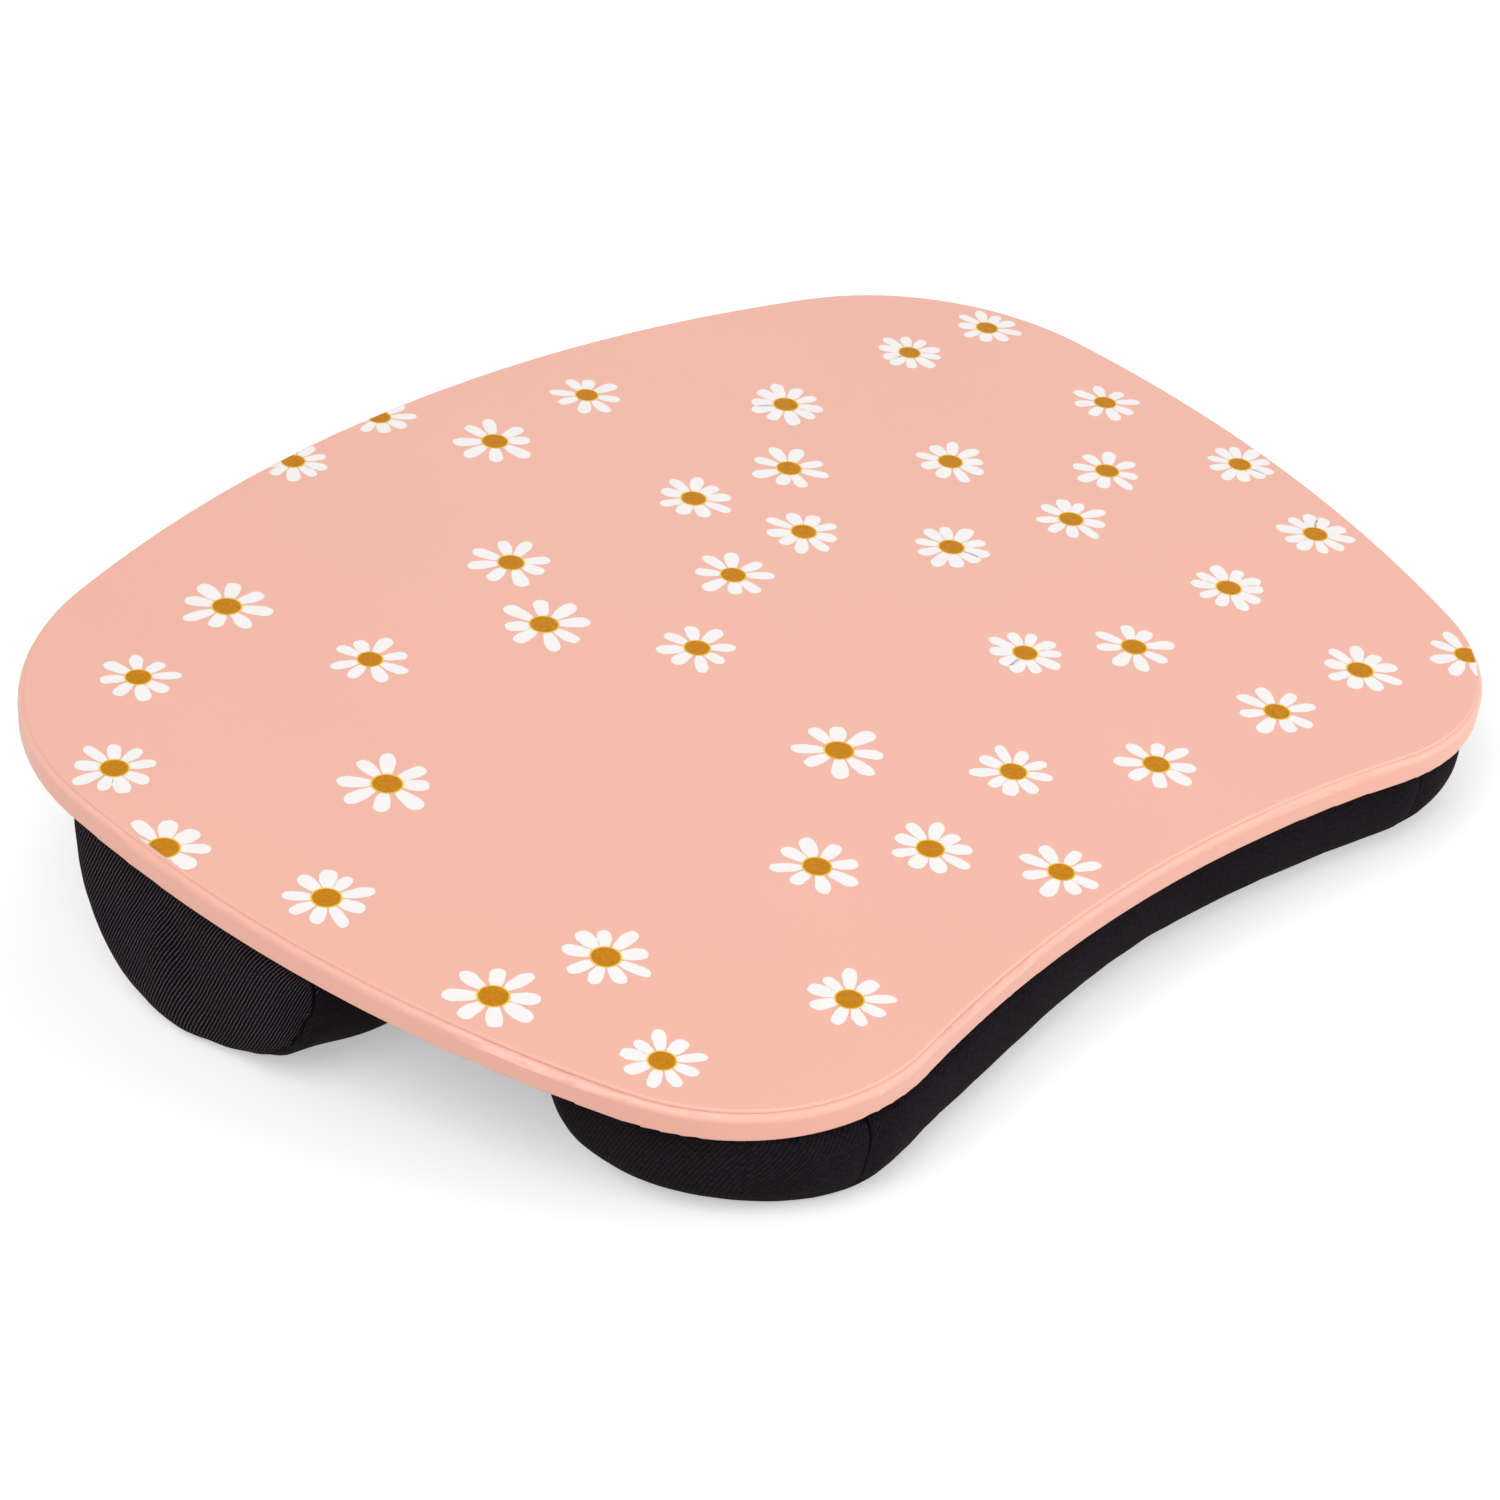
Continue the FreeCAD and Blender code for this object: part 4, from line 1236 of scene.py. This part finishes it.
class TRAY_OT_lay_base_cloth(bpy.types.Operator):
    """Lay the base cloth that closes both bolsters"""
    bl_idname = "tray.lay_base_cloth"
    bl_label = "Lay the base cloth"

    def execute(self, context):
        mesh = base_cloth_mesh(context.scene.tray_cushion)
        count = len(mesh.vertices)
        for name in SEAM_WIDTHS:
            write_floats(mesh, name, [NO_SEAM] * count)
        write_floats(mesh, "rib_show", [HALF_CLEAR_RIBS] * count)
        write_cloth_map(mesh, lambda point, normal, face: (point.x, point.y))
        piece = add_piece("base_cloth", mesh, [shared_twill(context)])
        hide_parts("cushion_base_panel")
        return {"FINISHED"}


# Stage

CAMERA_PLACE = Vector((-0.6559, -0.6519, 0.567))
# Direction from the object back to the camera
CAMERA_BACK = Vector((-0.60626, -0.61003, 0.51020))
SENSOR_WIDTH = 36
# Distances over which the floor's lift changes from near to far
LIFT_NEAR = 0.45
LIFT_FAR = 1.2
# Places and sides of the lamps, which all face one point
LAMP_TARGET = Vector((0, 0, 0.05))
KEY_PLACE = Vector((-1.25, -0.6, 1.55))
KEY_SIDE = 1.4
FILL_PLACE = Vector((0.67, -1.39, 0.45))
FILL_SIDE = 0.8
SHEEN_PLACE = Vector((0.95, 0.65, 1.1))
SHEEN_SIDE = 0.9
WHITE = (1, 1, 1, 1)


def background_share(tree):
    """1 for what the picture, a reflection or clear stuff shows, 0 for light on the object."""
    path = add_node(tree, "ShaderNodeLightPath")
    seen = maths(tree, "MAXIMUM", path.outputs["Is Camera Ray"], path.outputs["Is Glossy Ray"])
    return maths(tree, "MAXIMUM", seen, path.outputs["Is Transmission Ray"])


def floor_finish(look):
    """Matt pale floor, lifted to white in the picture, with the object's shadow on it."""
    finish = bpy.data.materials.new("pale floor")
    finish.use_nodes = True
    tree = finish.node_tree
    tree.nodes.clear()
    matt = add_node(tree, "ShaderNodeBsdfDiffuse")
    matt.inputs["Color"].default_value = look.floor
    lift = add_node(tree, "ShaderNodeEmission")
    away = add_node(tree, "ShaderNodeVectorMath", operation="LENGTH")
    feed(tree, away.inputs[0], object_place(tree))
    amount = ranged(
        tree, away.outputs["Value"], LIFT_NEAR, LIFT_FAR, look.floor_lift, look.floor_far_lift)
    feed(tree, lift.inputs["Strength"], maths(tree, "MULTIPLY", background_share(tree), amount))
    both = add_node(tree, "ShaderNodeAddShader")
    output = add_node(tree, "ShaderNodeOutputMaterial")
    tree.links.new(matt.outputs[0], both.inputs[0])
    tree.links.new(lift.outputs[0], both.inputs[1])
    tree.links.new(both.outputs[0], output.inputs["Surface"])
    return finish


def lay_floor(scene, look):
    """A square floor under the object."""
    half = look.floor_size / 2
    corners = [(-half, -half, 0), (half, -half, 0), (half, half, 0), (-half, half, 0)]
    mesh = bpy.data.meshes.new("floor")
    mesh.from_pydata(corners, [], [(0, 1, 2, 3)])
    mesh.materials.append(floor_finish(look))
    floor = bpy.data.objects.new("floor", mesh)
    scene.collection.objects.link(floor)


def light_evenly(scene, look):
    """Even light from all round, white where the picture shows it."""
    world = bpy.data.worlds.new("even light")
    world.use_nodes = True
    tree = world.node_tree
    sky = tree.nodes["Background"]
    sky.inputs["Color"].default_value = WHITE
    strength = maths(tree, "MULTIPLY", background_share(tree), 1 - look.sky)
    feed(tree, sky.inputs["Strength"], maths(tree, "ADD", strength, look.sky))
    scene.world = world


def add_lamp(name, place, side, power, mirrored=True):
    """A square soft lamp that faces the object, out of the picture, and mirrored in it or not."""
    lamp = bpy.data.lights.new(name, "AREA")
    lamp.shape = "SQUARE"
    lamp.size = side
    lamp.energy = power
    holder = bpy.data.objects.new(name, lamp)
    holder.location = place
    holder.visible_camera = False
    holder.visible_glossy = mirrored
    holder.rotation_euler = (place - LAMP_TARGET).to_track_quat("Z", "Y").to_euler()
    bpy.context.scene.collection.objects.link(holder)


def set_camera(scene, look):
    """The camera at the picture's viewing angle."""
    lens = bpy.data.cameras.new("camera")
    lens.lens = look.lens
    lens.sensor_width = SENSOR_WIDTH
    camera = bpy.data.objects.new("camera", lens)
    camera.location = CAMERA_PLACE
    camera.rotation_euler = CAMERA_BACK.to_track_quat("Z", "Y").to_euler()
    scene.collection.objects.link(camera)
    scene.camera = camera


class TRAY_OT_set_stage(bpy.types.Operator):
    """Set up the floor, the light and the camera"""
    bl_idname = "tray.set_stage"
    bl_label = "Set the stage"

    def execute(self, context):
        scene = context.scene
        look = scene.tray_stage
        lay_floor(scene, look)
        light_evenly(scene, look)
        add_lamp("key lamp", KEY_PLACE, KEY_SIDE, look.key)
        add_lamp("fill lamp", FILL_PLACE, FILL_SIDE, look.fill, mirrored=False)
        add_lamp("sheen lamp", SHEEN_PLACE, SHEEN_SIDE, look.sheen)
        set_camera(scene, look)
        scene.view_settings.view_transform = "Standard"
        return {"FINISHED"}


# Panel and registration

STEPS = (
    TRAY_OT_finish_board, TRAY_OT_print_daisies, TRAY_OT_lay_base_cloth,
    TRAY_OT_stuff_rear_bolster, TRAY_OT_stuff_front_bolster, TRAY_OT_set_stage,
)
SETTINGS = {
    "tray_board": BoardLook, "tray_daisies": DaisyLook,
    "tray_cushion": CushionLook, "tray_stage": StageLook,
}


class TRAY_PT_looks(bpy.types.Panel):
    """Settings and steps of the lap tray's looks"""
    bl_label = "Lap tray looks"
    bl_idname = "TRAY_PT_looks"
    bl_space_type = "VIEW_3D"
    bl_region_type = "UI"
    bl_category = "Lap tray"

    def draw(self, context):
        for key, settings in SETTINGS.items():
            box = self.layout.box()
            for name in settings.__annotations__:
                box.prop(getattr(context.scene, key), name)
        for step in STEPS:
            self.layout.operator(step.bl_idname)


def register():
    """Adds the settings, the steps and the panel to Blender."""
    for part in (*SETTINGS.values(), *STEPS, TRAY_PT_looks):
        bpy.utils.register_class(part)
    for key, settings in SETTINGS.items():
        setattr(bpy.types.Scene, key, bpy.props.PointerProperty(type=settings))


def unregister():
    """Takes them out again."""
    for key in SETTINGS:
        delattr(bpy.types.Scene, key)
    for part in (TRAY_PT_looks, *reversed(STEPS), *reversed(SETTINGS.values())):
        bpy.utils.unregister_class(part)


def main():
    """Builds the whole scene in order."""
    register()
    bpy.ops.tray.finish_board()
    bpy.ops.tray.print_daisies()
    bpy.ops.tray.lay_base_cloth()
    bpy.ops.tray.stuff_rear_bolster()
    bpy.ops.tray.stuff_front_bolster()
    bpy.ops.tray.set_stage()


if __name__ == "__main__":
    main()
